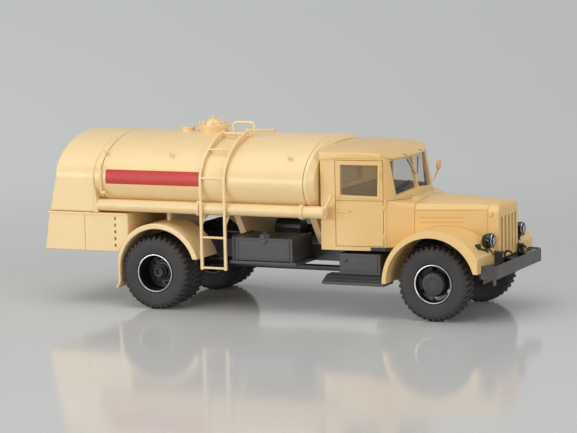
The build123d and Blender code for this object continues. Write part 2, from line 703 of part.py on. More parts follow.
def body_section(x, half, edge_z, inset, bottom):
    """Corners across the cowl or bonnet: flat sides, a crease and a crown that shrinks with the width."""
    side = half - inset
    edge = side - BONNET_EDGE_IN
    edge_z -= inset
    crease = edge_z - BONNET_CREASE_DROP
    shares = [2 * n / CROWN_STEPS - 1 for n in range(CROWN_STEPS + 1)]
    top = [(x, edge * t, edge_z + CROWN_RATIO * edge * (1 - t * t)) for t in shares]
    return top + [(x, side, crease), (x, side, bottom), (x, -side, bottom), (x, -side, crease)]


def cowl_block(inset):
    """The cowl, from the doors' front edge down to the bonnet's rear edge."""
    bottom = CAB_BOTTOM_Z - (1.0 if inset else 0.0)
    return flat_loft(
        body_section(CAB_FRONT_X - SEAT_GAP, CAB_HALF_WIDTH, COWL_EDGE_Z, inset, bottom),
        body_section(COWL_FRONT_X - inset, COWL_HALF_WIDTH, BONNET_EDGE_Z, inset, bottom),
    )


def cab_upper_section(z, inset, rake):
    """Corners round the cab at the windows, with the two windscreen panes meeting in a vee."""
    rear = CAB_REAR_X + inset
    post = CAB_FRONT_X - inset * 0.6 - rake * 0.3
    side = SCREEN_BASE_X - rake - inset
    centre = side + SCREEN_V
    wide, screen = CAB_HALF_WIDTH - inset, SCREEN_HALF_WIDTH - inset * 0.3
    plan = [(rear, -wide), (post, -wide), (side, -screen), (centre, 0), (side, screen), (post, wide), (rear, wide)]
    return [(x, y, z) for x, y in plan]


def cab_block(inset):
    """The cab's solid form, set in by a wall."""
    wide = CAB_HALF_WIDTH - inset
    bottom = CAB_BOTTOM_Z - (1.0 if inset else 0.0)
    lower = block(CAB_REAR_X + inset, CAB_FRONT_X, -wide, wide, bottom, BELT_Z) + cowl_block(inset)
    base_z = BELT_Z - 2.0
    top_z = DRIP_Z + (1.0 if inset else 0.0)
    rake = SCREEN_RAKE * (top_z - base_z) / (DRIP_Z - base_z)
    return lower + flat_loft(cab_upper_section(base_z, inset, 0.0), cab_upper_section(top_z, inset, rake))


def side_window_prism():
    """The space of both door windows."""
    x0, x1 = SIDE_WINDOW_REAR_X, SIDE_WINDOW_FRONT_X
    return block(x0, x1, -REACH, REACH, SIDE_WINDOW_BOTTOM_Z, SIDE_WINDOW_TOP_Z)


def screen_prisms():
    """The space of the two windscreen panes."""
    low, high = BELT_Z + SCREEN_SILL, DRIP_Z - SCREEN_HEADER
    side = SCREEN_HALF_WIDTH - 1.0
    right = [(-side, low - 0.5), (-PILLAR_HALF, low + 0.3), (-PILLAR_HALF, high), (-side, high)]
    pane = prism_x(outline(right), CAB_FRONT_X - 5.0, CAB_FRONT_X + 8.0)
    return pane + mirrored(pane)


def rear_window_prism():
    """The space of the window in the cab's back."""
    half = REAR_WINDOW_HALF
    return block(CAB_REAR_X - 2, CAB_REAR_X + 3, -half, half, REAR_WINDOW_BOTTOM_Z, REAR_WINDOW_TOP_Z)


def cab_shell():
    """The cab's walls, open below for the floor and above for the roof."""
    shell = cab_block(0.0) - cab_block(CAB_WALL)
    shell -= side_window_prism()
    shell -= screen_prisms()
    shell -= rear_window_prism()
    deep = CAB_HALF_WIDTH - GROOVE_DEPTH
    for y0, y1 in ((-CAB_HALF_WIDTH - 1, -deep), (deep, CAB_HALF_WIDTH + 1)):
        shell -= frame_line(DOOR_REAR_X, DOOR_FRONT_X, DOOR_BOTTOM_Z, DRIP_Z - 0.4, y0, y1)
    return shell - fender_void()


def cab_glass():
    """The window panes, each in the middle of its wall."""
    inset = (CAB_WALL - GLASS_THICK) / 2
    layer = cab_block(inset) - cab_block(inset + GLASS_THICK)
    panes = layer & (side_window_prism() + screen_prisms() + rear_window_prism())
    return list(panes.solids())


def cab_floor():
    """The cab's floor, which closes it from below."""
    top = CAB_BOTTOM_Z + FLOOR_THICK
    return (cab_block(CAB_WALL + SEAT_GAP) & block(0, REACH, -REACH, REACH, CAB_BOTTOM_Z, top)) - fender_void()


def cab_roof():
    """The crowned roof with its side edge and the short visor over the windscreen."""
    wide = CAB_HALF_WIDTH + ROOF_OVERHANG
    rear = CAB_REAR_X - ROOF_OVERHANG
    side = SCREEN_BASE_X - SCREEN_RAKE + VISOR - 0.4
    post = CAB_FRONT_X
    centre = side + SCREEN_V
    plan = outline([(rear, -wide), (post, -wide), (side, -SCREEN_HALF_WIDTH), (centre, 0),
                    (side, SCREEN_HALF_WIDTH), (post, wide), (rear, wide)])
    base = DRIP_Z + SEAT_GAP
    crown = ThreePointArc((wide, base + ROOF_EDGE), (0, base + ROOF_CROWN), (-wide, base + ROOF_EDGE))
    lower = Polyline((-wide, base + ROOF_EDGE), (-wide, base), (wide, base), (wide, base + ROOF_EDGE))
    section = make_face(Curve() + [crown, lower])
    roof = prism_z(plan, base, base + 10.0) & prism_x(section, rear - 1.0, centre + 1.0)
    brow = [
        (rear - 1.0, base - 1.0), (rear - 1.0, base + 2.6), (rear + 3.0, base + ROOF_CROWN + 0.4),
        (centre - 9.0, base + ROOF_CROWN + 0.4), (centre + 0.2, base + 1.7), (centre + 1.0, base - 1.0),
    ]
    roof = roof & prism_y(outline(brow), -wide - 1.0, wide + 1.0)
    inner = block(CAB_REAR_X + 3.0, CAB_FRONT_X - 4.0, -CAB_HALF_WIDTH + 4.0, CAB_HALF_WIDTH - 4.0, base - 1, base + 1.3)
    skirt = block(rear, CAB_REAR_X + ROOF_SKIRT, CAB_HALF_WIDTH + SEAT_GAP, wide, base - ROOF_SKIRT_DROP, base + 0.1)
    return roof - inner + skirt + mirrored(skirt)


SEAT_BACK_X = CAB_REAR_X + CAB_WALL + 0.4
FLOOR_TOP_Z = CAB_BOTTOM_Z + FLOOR_THICK


def seat():
    """The bench seat with its raised back."""
    profile = [
        (SEAT_BACK_X, FLOOR_TOP_Z + SEAT_GAP), (SEAT_BACK_X + 12.0, FLOOR_TOP_Z + SEAT_GAP),
        (SEAT_BACK_X + 12.6, 34.5), (SEAT_BACK_X + 4.0, 33.8), (SEAT_BACK_X + 2.4, 45.5), (SEAT_BACK_X, 45.5),
    ]
    return prism_y(outline(profile), -CAB_HALF_WIDTH + 3.0, CAB_HALF_WIDTH - 3.0)


def dashboard():
    """The dashboard under the windscreen."""
    rear = CAB_FRONT_X - 4.2
    front = CAB_FRONT_X + 2.0
    profile = [(rear + 0.8, 36.0), (front, 36.0), (front, DASH_TOP_Z), (rear, DASH_TOP_Z)]
    half = CAB_HALF_WIDTH - CAB_WALL - SEAT_GAP
    return prism_y(outline(profile), -half, half) - (block(rear, front + 9, -half, half, 36.0, REACH) - cab_block(CAB_WALL + SEAT_GAP))


STEERING_Y = 11.0
STEERING_R = 4.2


def steering_wheel():
    """The steering wheel on its column, leaning towards the driver."""
    centre = (CAB_FRONT_X - 8.2, STEERING_Y, 41.6)
    tilt = Pos(*centre) * Rot(0, -35, 0)
    ring = RegularPolygon(STEERING_R + 0.4, 16) - RegularPolygon(STEERING_R - 0.4, 16)
    wheel = tilt * (extrude(ring, amount=0.4, both=True) + Box(0.8, 2 * STEERING_R, 0.5))
    foot = (CAB_FRONT_X - 4.0 + SEAT_GAP, STEERING_Y, 38.0)
    column = bar(centre, (CAB_FRONT_X - 4.6, STEERING_Y, 38.0), 0.6)
    return wheel + column


# Bonnet and grille

def bonnet_block(inset, bottom):
    """The bonnet's form from the cowl to the grille shell."""
    rear = COWL_FRONT_X + SEAT_GAP
    front = BONNET_FRONT_X - SEAT_GAP
    return flat_loft(
        body_section(rear, COWL_HALF_WIDTH, BONNET_EDGE_Z, inset, bottom),
        body_section(front, BONNET_FRONT_HALF, BONNET_EDGE_Z - BONNET_DROP, inset, bottom),
    )


def bonnet():
    """The bonnet with its side panels, open below."""
    shell = bonnet_block(0.0, BONNET_BOTTOM_Z) - bonnet_block(BONNET_WALL, BONNET_BOTTOM_Z - 1.0)
    core = bonnet_block(GROOVE_DEPTH, BONNET_BOTTOM_Z)
    hinge_z = BONNET_EDGE_Z - BONNET_CREASE_DROP - BONNET_DROP / 2
    lines = [(COWL_FRONT_X, BONNET_FRONT_X, hinge_z)]
    lines += [(PRESSING_REAR_X, PRESSING_REAR_X + PRESSING_LENGTH, z) for z in PRESSING_ZS]
    for x0, x1, z in lines:
        shell -= block(x0, x1, -REACH, REACH, z - GROOVE / 2, z + GROOVE / 2) - core
    between = block(-REACH, REACH, -FENDER_INNER_Y, FENDER_INNER_Y, 0, REACH)
    rails_y = RAIL_OUTER_Y + 2 * SEAT_GAP
    rails = block(-REACH, REACH, -rails_y, rails_y, 0, RAIL_TOP_Z + 4 * SEAT_GAP)
    return shell - (fender_void() - between) - rails


def slot_ys():
    """The middle of each upright grille slot."""
    return [SLOT_PITCH * (n - (SLOT_COUNT - 1) / 2) for n in range(SLOT_COUNT)]


def grille_shell():
    """The radiator shell with its upright slots."""
    edge_z = BONNET_EDGE_Z - BONNET_DROP
    crown_z = edge_z + CROWN_RATIO * BONNET_FRONT_HALF
    rear = body_section(BONNET_FRONT_X, BONNET_FRONT_HALF, edge_z, 0.0, GRILLE_BOTTOM_Z)
    front = body_section(GRILLE_FRONT_X, GRILLE_FRONT_HALF, edge_z - 0.3, 0.0, GRILLE_BOTTOM_Z)
    half = GRILLE_FRONT_HALF + 1
    plan = [(BONNET_FRONT_X - 1, -half)]
    for n in range(SLOT_COUNT + 1):
        share = 2 * n / SLOT_COUNT - 1
        plan.append((GRILLE_FRONT_X - GRILLE_BOW * share * share, half * share))
    plan.append((BONNET_FRONT_X - 1, half))
    shell = flat_loft(rear, front) & prism_z(outline(plan), 0, REACH)
    brow = [
        (BONNET_FRONT_X - 1, 0), (GRILLE_FRONT_X + 1, 0), (GRILLE_FRONT_X + 1, crown_z - 4.0),
        (GRILLE_FRONT_X - 0.1, crown_z - 2.4), (GRILLE_FRONT_X - 0.6, crown_z - 1.2),
        (GRILLE_FRONT_X - 1.7, crown_z - 0.3), (GRILLE_FRONT_X - 2.6, crown_z + 0.1), (BONNET_FRONT_X - 1, crown_z + 0.2),
    ]
    shell = shell & prism_y(outline(brow), -REACH, REACH)
    shell += block(
        BONNET_FRONT_X + 0.4, BONNET_FRONT_X + 1.4, -BONNET_FRONT_HALF - 0.3, BONNET_FRONT_HALF + 0.3,
        LATCH_Z - 1.2, LATCH_Z,
    )
    half = GRILLE_FRONT_HALF - BONNET_WALL
    shell -= block(
        BONNET_FRONT_X - 1.0, GRILLE_FRONT_X - BONNET_WALL, -half, half,
        GRILLE_BOTTOM_Z + 1.0, BONNET_EDGE_Z - 3.0,
    )
    for y in slot_ys():
        shell -= block(
            GRILLE_FRONT_X - 3.0, GRILLE_FRONT_X + 1.0, y - SLOT_WIDTH / 2, y + SLOT_WIDTH / 2,
            SLOT_BOTTOM_Z, SLOT_TOP_Z,
        )
    for side in (-1, 1):
        y0, y1 = sorted((side * (RAIL_INNER_Y - SEAT_GAP), side * 20.0))
        shell -= block(BONNET_FRONT_X - 1, GRILLE_FRONT_X + 1, y0, y1, 0, RAIL_TOP_Z + SEAT_GAP)
    return shell


def radiator_core():
    """The dark radiator core behind the slots."""
    half = GRILLE_FRONT_HALF - BONNET_WALL - SEAT_GAP
    back = GRILLE_FRONT_X - BONNET_WALL - SEAT_GAP
    return block(back - CORE_THICK, back, -half, half, GRILLE_BOTTOM_Z + 1.0 + SEAT_GAP, BONNET_EDGE_Z - 3.0 - SEAT_GAP)


# Lamps, wipers, mirror and handles

def lamp_ring(x, radius):
    """Corners round a headlamp."""
    turns = [2 * math.pi * n / LAMP_SIDES for n in range(LAMP_SIDES)]
    return [(x, -LAMP_Y + radius * math.cos(turn), LAMP_Z + radius * math.sin(turn)) for turn in turns]


def headlamp_bowl():
    """A round headlamp bowl, tapered to the back, on its bracket."""
    x0, x1 = LAMP_REAR_X, LAMP_REAR_X + LAMP_LENGTH
    rim_x = x1 - LAMP_RIM
    bowl = flat_loft(lamp_ring(x1, LAMP_R), lamp_ring(rim_x, LAMP_R))
    bowl += flat_loft(lamp_ring(rim_x, LAMP_R), lamp_ring(x0, LAMP_BACK_R))
    foot = (x0 + 1.5, -LAMP_Y - 2.2, LAMP_Z - 4.6)
    bracket = bar((x0 + 1.6, -LAMP_Y, LAMP_Z - 1.0), foot, 0.6)
    return bowl + (bracket - fender_void())


def headlamp_lens():
    """The clear lens on a headlamp's face."""
    x0 = LAMP_REAR_X + LAMP_LENGTH + SEAT_GAP
    return bar((x0, -LAMP_Y, LAMP_Z), (x0 + 0.6, -LAMP_Y, LAMP_Z), LAMP_R - 0.35, LAMP_SIDES)


def side_lamp():
    """The small lamp on a front fender."""
    x = FRONT_AXLE_X + 14.0
    z = AXLE_Z + 13.6
    lamp = bar((x, -SIDE_LAMP_Y, z), (x + 2.2, -SIDE_LAMP_Y, z), SIDE_LAMP_R, 12)
    lamp += bar((x + 0.8, -SIDE_LAMP_Y, z), (x + 0.8, -SIDE_LAMP_Y, z - 2.2), 0.5, 6)
    return lamp - fender_void()


def wiper():
    """One wiper hanging from the windscreen's top frame."""
    top_z = DRIP_Z - 0.9
    slope = SCREEN_RAKE / (DRIP_Z - BELT_Z + 2.0)

    def screen_x(y, z):
        """The windscreen's face at a place on it."""
        along = 1 - abs(y) / SCREEN_HALF_WIDTH
        return SCREEN_BASE_X + SCREEN_V * along - slope * (z - BELT_Z + 2.0)

    pivot_y, tip_y, tip_z = 9.5, 3.2, BELT_Z + 4.0
    off = 0.55
    start = (screen_x(pivot_y, top_z) + off, -pivot_y, top_z)
    end = (screen_x(tip_y, tip_z) + off, -tip_y, tip_z)
    pivot = bar((start[0] - off + 0.1, start[1], top_z), (start[0] + 0.2, start[1], top_z), 0.5, 6)
    return bar(start, end, 0.28, 6) + pivot


def door_mirror():
    """The small round mirror on its arm, on the left side only."""
    foot = (CAB_FRONT_X - 1.5, CAB_HALF_WIDTH + SEAT_GAP, BELT_Z)
    knee = (CAB_FRONT_X - 0.6, CAB_HALF_WIDTH + 2.2, BELT_Z + 1.6)
    head = (CAB_FRONT_X + 0.4, CAB_HALF_WIDTH + 3.2, BELT_Z + 6.0)
    arm = bar(foot, knee, 0.35, 6) + bar(knee, head, 0.35, 6)
    face = bar((head[0] - 0.45, head[1], head[2]), (head[0] + 0.45, head[1], head[2]), MIRROR_R, 16)
    wall = block(CAB_REAR_X, COWL_FRONT_X, 0, CAB_HALF_WIDTH + SEAT_GAP, CAB_BOTTOM_Z, DRIP_Z)
    return arm + face - wall


def door_handle():
    """A lever handle on the right door."""
    z = 37.4
    x = CAB_REAR_X + 6.2
    y = -(CAB_HALF_WIDTH + SEAT_GAP)
    return block(x, x + 1.0, y - 0.9, y, z - 0.4, z + 0.4) + block(x, x + 5.0, y - 1.3, y - 0.6, z - 0.35, z + 0.35)


def door_hinges():
    """The hinge barrels on one door's front edge."""
    y = -(CAB_HALF_WIDTH + HINGE_R + SEAT_GAP)
    half = HINGE_LENGTH / 2
    return [bar((DOOR_FRONT_X, y, z - half), (DOOR_FRONT_X, y, z + half), HINGE_R, 6) for z in HINGE_ZS]


# Tank

def tank_shell():
    """The elliptical tank with its shallow dished end."""
    body = prism_x(tank_face(0.0), TANK_REAR_X, TANK_FRONT_X)
    rim = plane_x(TANK_FRONT_X) * tank_face(0.0)
    end = plane_x(TANK_FRONT_X + TANK_DOME) * tank_face(-TANK_DOME_STEP)
    return body + loft([rim, end])


CRADLES = [
    # x, half width at the tank
    (REAR_AXLE_X - 3.0, 12.5),
    (REAR_AXLE_X + 28.0, 20.5),
    (TANK_FRONT_X - 2.5, 20.5),
]
CRADLE_THICK = 2.4
CRADLE_FOOT_HALF = 12.0
STAY_R = 0.8
STAY_Y = 20.0


def tank_cradles():
    """The saddles that carry the tank on the frame."""
    cradles = []
    for x, top_half in CRADLES:
        section = outline([
            (-CRADLE_FOOT_HALF, RAIL_TOP_Z + SEAT_GAP), (CRADLE_FOOT_HALF, RAIL_TOP_Z + SEAT_GAP),
            (top_half, TANK_Z - 12.0), (-top_half, TANK_Z - 12.0),
        ])
        plate = prism_x(section, x - CRADLE_THICK / 2, x + CRADLE_THICK / 2)
        cradles.append(plate - prism_x(tank_face(SEAT_GAP), x - 5, x + 5))
    stay_z = MUDGUARD_Z + MUDGUARD_R + MUDGUARD_THICK + SEAT_GAP
    stay = bar((MUDGUARD_X, -STAY_Y, stay_z), (MUDGUARD_X, -STAY_Y, TANK_Z - 8.0), STAY_R)
    return cradles + pair(stay - prism_x(tank_face(SEAT_GAP), MUDGUARD_X - 5, MUDGUARD_X + 5))


def manhole_neck():
    """The manhole's round neck and bolting flange."""
    foot_z = TANK_Z + TANK_HALF_HEIGHT - 2
    neck = bar((MANHOLE_X, 0, foot_z), (MANHOLE_X, 0, MANHOLE_FLANGE_Z), MANHOLE_NECK_R, MANHOLE_SIDES)
    flange_z = MANHOLE_FLANGE_Z - 0.5
    neck += bar((MANHOLE_X, 0, flange_z), (MANHOLE_X, 0, MANHOLE_FLANGE_Z), MANHOLE_FLANGE_R, MANHOLE_SIDES)
    return neck - prism_x(tank_face(SEAT_GAP), MANHOLE_X - 8, MANHOLE_X + 8)


def manhole_lid():
    """The stepped lid with its knob."""
    z = MANHOLE_FLANGE_Z + SEAT_GAP
    lid = None
    for radius, height in LID_STEPS:
        step = bar((MANHOLE_X, 0, z), (MANHOLE_X, 0, z + height), radius, MANHOLE_SIDES)
        lid = step if lid is None else lid + step
    return lid


def filler_stub():
    """The short filler pipe behind the manhole."""
    stub = bar((FILLER_X, 0, TANK_Z + TANK_HALF_HEIGHT - 1), (FILLER_X, 0, FILLER_TOP_Z), FILLER_R, 16)
    return stub - prism_x(tank_face(SEAT_GAP), FILLER_X - 5, FILLER_X + 5)


def tank_lugs():
    """The small lifting lugs welded along both shoulders."""
    lugs = []
    for x in LUG_XS:
        z = tank_height(LUG_Y)
        lug = block(x - 0.9, x + 0.9, -LUG_Y - 1.2, -LUG_Y + 0.3, z - 1.4, z + 1.5)
        lugs += pair(lug - prism_x(tank_face(SEAT_GAP), x - 3, x + 3))
    return lugs


def shoulder_points(grow_a, grow_b, top_y):
    """Places on a curve grown from the tank's, from its widest line up to near its top."""
    a, b = TANK_HALF_WIDTH + grow_a, TANK_HALF_HEIGHT + grow_b
    top = math.acos(top_y / a)
    angles = [top * n / SHOULDER_STEPS for n in range(SHOULDER_STEPS + 1)]
    return [(-a * math.cos(angle), TANK_Z + b * math.sin(angle)) for angle in angles]


def arc_band(grow_a, grow_b, thick, top_y, x0, x1):
    """A bar that follows the tank over its right shoulder, clear of it by the growths."""
    inner = shoulder_points(grow_a, grow_b, top_y)
    outer = shoulder_points(grow_a + thick, grow_b + thick, top_y)
    return prism_x(outline(outer + inner[::-1]), x0, x1)


def ladder():
    """The ladder up the right side, over the tank's shoulder to its top."""
    half = RAIL_BAR / 2
    rail_a = LADDER_Y - half - TANK_HALF_WIDTH
    rail_b = LADDER_RISE - half - TANK_HALF_HEIGHT
    xs = (LADDER_REAR_X, LADDER_REAR_X + LADDER_WIDTH)
    body = None
    for x in xs:
        rail = block(x - half, x + half, -LADDER_Y - half, -LADDER_Y + half, LADDER_BOTTOM_Z, TANK_Z)
        rail += arc_band(rail_a, rail_b, RAIL_BAR, LADDER_TOP_Y, x - half, x + half)
        rail += arc_band(STRAP_GAP, STRAP_GAP, STRAP_THICK, LADDER_TOP_Y, x - half, x + half)
        for y in RUNG_TOP_YS:
            rail += block(
                x - half, x + half, -y - 0.5, -y + 0.5, tank_height(y) + STRAP_GAP + STRAP_THICK / 2,
                tank_height(y) + rail_b + half,
            )
        rail += bar((x, -LADDER_Y + 0.2, 31.0), (x, -TUBE_Y + 0.6, TUBE_Z - TUBE_R - 0.25), 0.4, 6)
        body = rail if body is None else body + rail
    for z in RUNG_HEIGHTS:
        body += bar((xs[0], -LADDER_Y, z), (xs[1], -LADDER_Y, z), RUNG_R)
    for y in RUNG_TOP_YS:
        z = TANK_Z + LADDER_RISE * math.sqrt(1 - (y / LADDER_Y) ** 2)
        body += bar((xs[0], -y, z), (xs[1], -y, z), RUNG_R)
    tubes = rod((TANK_REAR_X, -TUBE_Y, TUBE_Z), (TUBE_FRONT_X, -TUBE_Y, TUBE_Z), TUBE_R + SEAT_GAP)
    return body - tubes


def handrail():
    """The hoop on the tank's top beside the ladder."""
    x0, x1 = HANDRAIL_REAR_X, HANDRAIL_REAR_X + HANDRAIL_LENGTH
    y, top = -HANDRAIL_Y, HANDRAIL_TOP_Z - HANDRAIL_R
    base = tank_height(HANDRAIL_Y) - 1
    bend = HANDRAIL_BEND
    places = [(x0, base), (x0, top - bend), (x0 + bend, top), (x1 - bend, top), (x1, top - bend), (x1, base)]
    path = Polyline(*[(x, y, z) for x, z in places])
    section = Plane(origin=(x0, y, base), z_dir=(0, 0, 1)) * RegularPolygon(HANDRAIL_R, 6)
    hoop = sweep(section, path=path, transition=Transition.RIGHT)
    return hoop - prism_x(tank_face(SEAT_GAP), x0 - 3, x1 + 3)


def hose_tube():
    """The long hose tube on the right side."""
    return bar((TANK_REAR_X + SEAT_GAP, -TUBE_Y, TUBE_Z), (TUBE_FRONT_X, -TUBE_Y, TUBE_Z), TUBE_R, TUBE_SIDES)


def tube_clamp(x):
    """A clamp round a hose tube, with a tab up to the tank."""
    x0, x1 = x - CLAMP_WIDTH / 2, x + CLAMP_WIDTH / 2
    bore_r = (TUBE_R + SEAT_GAP) / math.cos(math.pi / CLAMP_SIDES)
    ring = bar((x0, -TUBE_Y, TUBE_Z), (x1, -TUBE_Y, TUBE_Z), bore_r + CLAMP_WALL, CLAMP_SIDES)
    ring += block(x0, x1, -TUBE_Y, -TUBE_Y + 5.0, TUBE_Z - 0.4, TUBE_Z + 0.8)
    ring -= bar((x0 - 1, -TUBE_Y, TUBE_Z), (x1 + 1, -TUBE_Y, TUBE_Z), bore_r, CLAMP_SIDES)
    return ring - prism_x(tank_face(SEAT_GAP), x0 - 1, x1 + 1)


def tube_cap():
    """The cap on a hose tube's front end, with its closing lever."""
    x0 = TUBE_FRONT_X + SEAT_GAP
    cap = bar((x0, -TUBE_Y, TUBE_Z), (x0 + 1.0, -TUBE_Y, TUBE_Z), TUBE_R + 0.2, 12)
    return cap + bar((x0 + 0.5, -TUBE_Y - 0.5, TUBE_Z), (x0 + 4.0, -TUBE_Y - 0.5, TUBE_Z + 6.8), 0.45, 6)


# Rear housing and cabinet

def rear_housing():
    """The upper rear housing, which follows the tank above and drops straight below it."""
    wide = TANK_HALF_WIDTH
    section = tank_face(0.0) + Pos(0, (TANK_Z + CABINET_TOP_Z) / 2) * Rectangle(2 * wide, TANK_Z - CABINET_TOP_Z)
    keep = outline([(-wide - 1, CABINET_TOP_Z + SEAT_GAP), (wide + 1, CABINET_TOP_Z + SEAT_GAP), (wide + 1, REACH), (-wide - 1, REACH)])
    solid = prism_x(section & keep, HOUSING_FLARE_X - 2, TANK_REAR_X - SEAT_GAP)
    side = outline([
        (TANK_REAR_X, CABINET_TOP_Z - 1), (HOUSING_FLARE_X, CABINET_TOP_Z - 1), (HOUSING_FLARE_X, CABINET_TOP_Z),
        (HOUSING_REAR_X, TANK_Z), (HOUSING_REAR_X, REACH), (TANK_REAR_X, REACH),
    ])
    solid = solid & prism_y(side, -wide - 1, wide + 1)
    rear = HOUSING_FLARE_X - 2
    line = block(rear, rear + 6, -GROOVE / 2, GROOVE / 2, CABINET_TOP_Z, REAR_DOOR_TOP_Z)
    line += block(rear, rear + 6, -REAR_DOOR_HALF, REAR_DOOR_HALF, REAR_DOOR_TOP_Z, REAR_DOOR_TOP_Z + GROOVE)
    for side in (-1, 1):
        y = side * REAR_DOOR_HALF
        line += block(rear, rear + 6, y - GROOVE / 2, y + GROOVE / 2, CABINET_TOP_Z, REAR_DOOR_TOP_Z)
    return scored(solid, line, (1, 0, 0))


def cabinet_block(grow):
    """The cabinet's plain form, grown at the back."""
    side = outline([
        (CABINET_REAR_X - grow, CABINET_BOTTOM_Z), (CABINET_FRONT_X, CABINET_BOTTOM_Z),
        (CABINET_FRONT_X, CABINET_TOP_Z), (HOUSING_FLARE_X - grow, CABINET_TOP_Z),
    ])
    return prism_y(side, -CABINET_HALF_WIDTH, CABINET_HALF_WIDTH)


def lower_cabinet():
    """The pump cabinet under the housing, with a thin ledge round its top."""
    body = cabinet_block(0.0)
    ledge = CABINET_HALF_WIDTH + LEDGE
    body += block(HOUSING_FLARE_X - LEDGE, CABINET_FRONT_X, -ledge, ledge, CABINET_TOP_Z - LEDGE_HEIGHT, CABINET_TOP_Z)
    body -= block(
        RAIL_REAR_X - 1.0, CABINET_FRONT_X + 1, -RAIL_OUTER_Y - SEAT_GAP, RAIL_OUTER_Y + SEAT_GAP,
        CABINET_BOTTOM_Z - 1, RAIL_TOP_Z + SEAT_GAP,
    )
    half = CABINET_HALF_WIDTH
    marks = [(x, GROOVE, CABINET_BOTTOM_Z - 1, CABINET_TOP_Z - LEDGE_HEIGHT) for x in CABINET_DOOR_XS]
    middle_z = (CABINET_BOTTOM_Z + CABINET_TOP_Z) / 2
    for n in range(LOUVRE_COUNT):
        z = middle_z + LOUVRE_PITCH * (n - (LOUVRE_COUNT - 1) / 2)
        marks.append((LOUVRE_X, LOUVRE_WIDTH, z - LOUVRE_HEIGHT / 2, z + LOUVRE_HEIGHT / 2))
    for x, width, z0, z1 in marks:
        for y0, y1 in ((-half - 1, -half + GROOVE_DEPTH), (half - GROOVE_DEPTH, half + 1)):
            body -= block(x - width / 2, x + width / 2, y0, y1, z0, z1)
    rear = CABINET_REAR_X - 1
    body = scored(body, block(rear, rear + 5, -GROOVE / 2, GROOVE / 2, CABINET_BOTTOM_Z - 1, CABINET_TOP_Z), (1, 0, 0))
    return body - mudguard_void() - prism_x(tank_face(SEAT_GAP), TANK_REAR_X - SEAT_GAP, CABINET_FRONT_X + 1)


def tail_lamps():
    """The two small round tail lamps under the rear corners."""
    z = CABINET_BOTTOM_Z + 3.2
    lamp = bar((CABINET_REAR_X + 2.0, -25.5, z), (CABINET_REAR_X, -25.5, z), 1.4, 12)
    return pair(lamp - cabinet_block(SEAT_GAP))


WHEELS = [
    # name, x of the axle, side
    ("front_right", FRONT_AXLE_X, -1),
    ("front_left", FRONT_AXLE_X, 1),
    ("rear_right", REAR_AXLE_X, -1),
    ("rear_left", REAR_AXLE_X, 1),
]


def save_wheels():
    """Write every wheel's tyres and rims."""
    for name, x, side in WHEELS:
        if name.startswith("front"):
            save(f"tyre_{name}", tyre(x, side * FRONT_TRACK_HALF))
            save(f"rim_{name}", front_rim(side))
        else:
            save(f"tyres_{name}", [tyre(x, side * y) for y in (TWIN_INNER_Y, TWIN_OUTER_Y)])
            save(f"rims_{name}", rear_rims(side))


def save_chassis():
    """Write the frame and what hangs on it."""
    save("chassis_frame", chassis_frame())
    save("front_axle", front_axle())
    save("rear_axle", rear_axle())
    save("front_springs", pair(leaf_spring(FRONT_AXLE_X, AXLE_Z + BEAM_HALF + SEAT_GAP, 17.0)))
    save("rear_springs", pair(leaf_spring(REAR_AXLE_X, AXLE_Z + BEAM_HALF + SEAT_GAP, 17.0)))
    save("propshaft", propshaft())
    save("powertrain", powertrain())
    save("fuel_boxes", pair(fuel_box()))
    save("air_reservoir", air_reservoir())
    save("step_boxes", pair(step_box()))
    save("front_bumper", bumper())
    save("tow_hooks", tow_hooks())


def save_cab():
    """Write the cab, the bonnet and the fenders."""
    save("cab_shell", cab_shell())
    save("cab_roof", cab_roof())
    save("cab_floor", cab_floor())
    save("cab_glass", cab_glass())
    save("dashboard", dashboard())
    save("seat", seat())
    save("steering_wheel", steering_wheel())
    save("bonnet", bonnet())
    save("grille_shell", grille_shell())
    save("radiator_core", radiator_core())
    save("front_fender_right", front_fender())
    save("front_fender_left", mirrored(front_fender()))
    save("headlamp_bowls", pair(headlamp_bowl()))
    save("headlamp_lenses", pair(headlamp_lens()))
    save("side_lamps", pair(side_lamp()))
    save("wipers", pair(wiper()))
    save("mirror", door_mirror())
    save("door_handles", pair(door_handle()))
    save("door_hinges", [piece for hinge in door_hinges() for piece in pair(hinge)])


def save_tank():
    """Write the tank, its fittings and the rear cabinets."""
    save("tank_shell", tank_shell())
    save("tank_cradles", tank_cradles())
    save("manhole_neck", manhole_neck())
    save("manhole_lid", manhole_lid())
    save("filler_stub", filler_stub())
    save("tank_lugs", tank_lugs())
    save("ladder", ladder())
    save("handrail", handrail())
    save("hose_tubes", pair(hose_tube()))
    save("tube_clamps", [piece for x in CLAMP_XS for piece in pair(tube_clamp(x))])
    save("tube_caps", pair(tube_cap()))
    save("rear_housing", rear_housing())
    save("lower_cabinet", lower_cabinet())
    save("tail_lamps", tail_lamps())
    save("rear_mudguard_right", rear_mudguard())
    save("rear_mudguard_left", mirrored(rear_mudguard()))


save_wheels()
save_chassis()
save_cab()
save_tank()
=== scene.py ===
from math import acos, cos, pi, radians, sin, sqrt

import bmesh
import bpy
from mathutils import Matrix, Vector


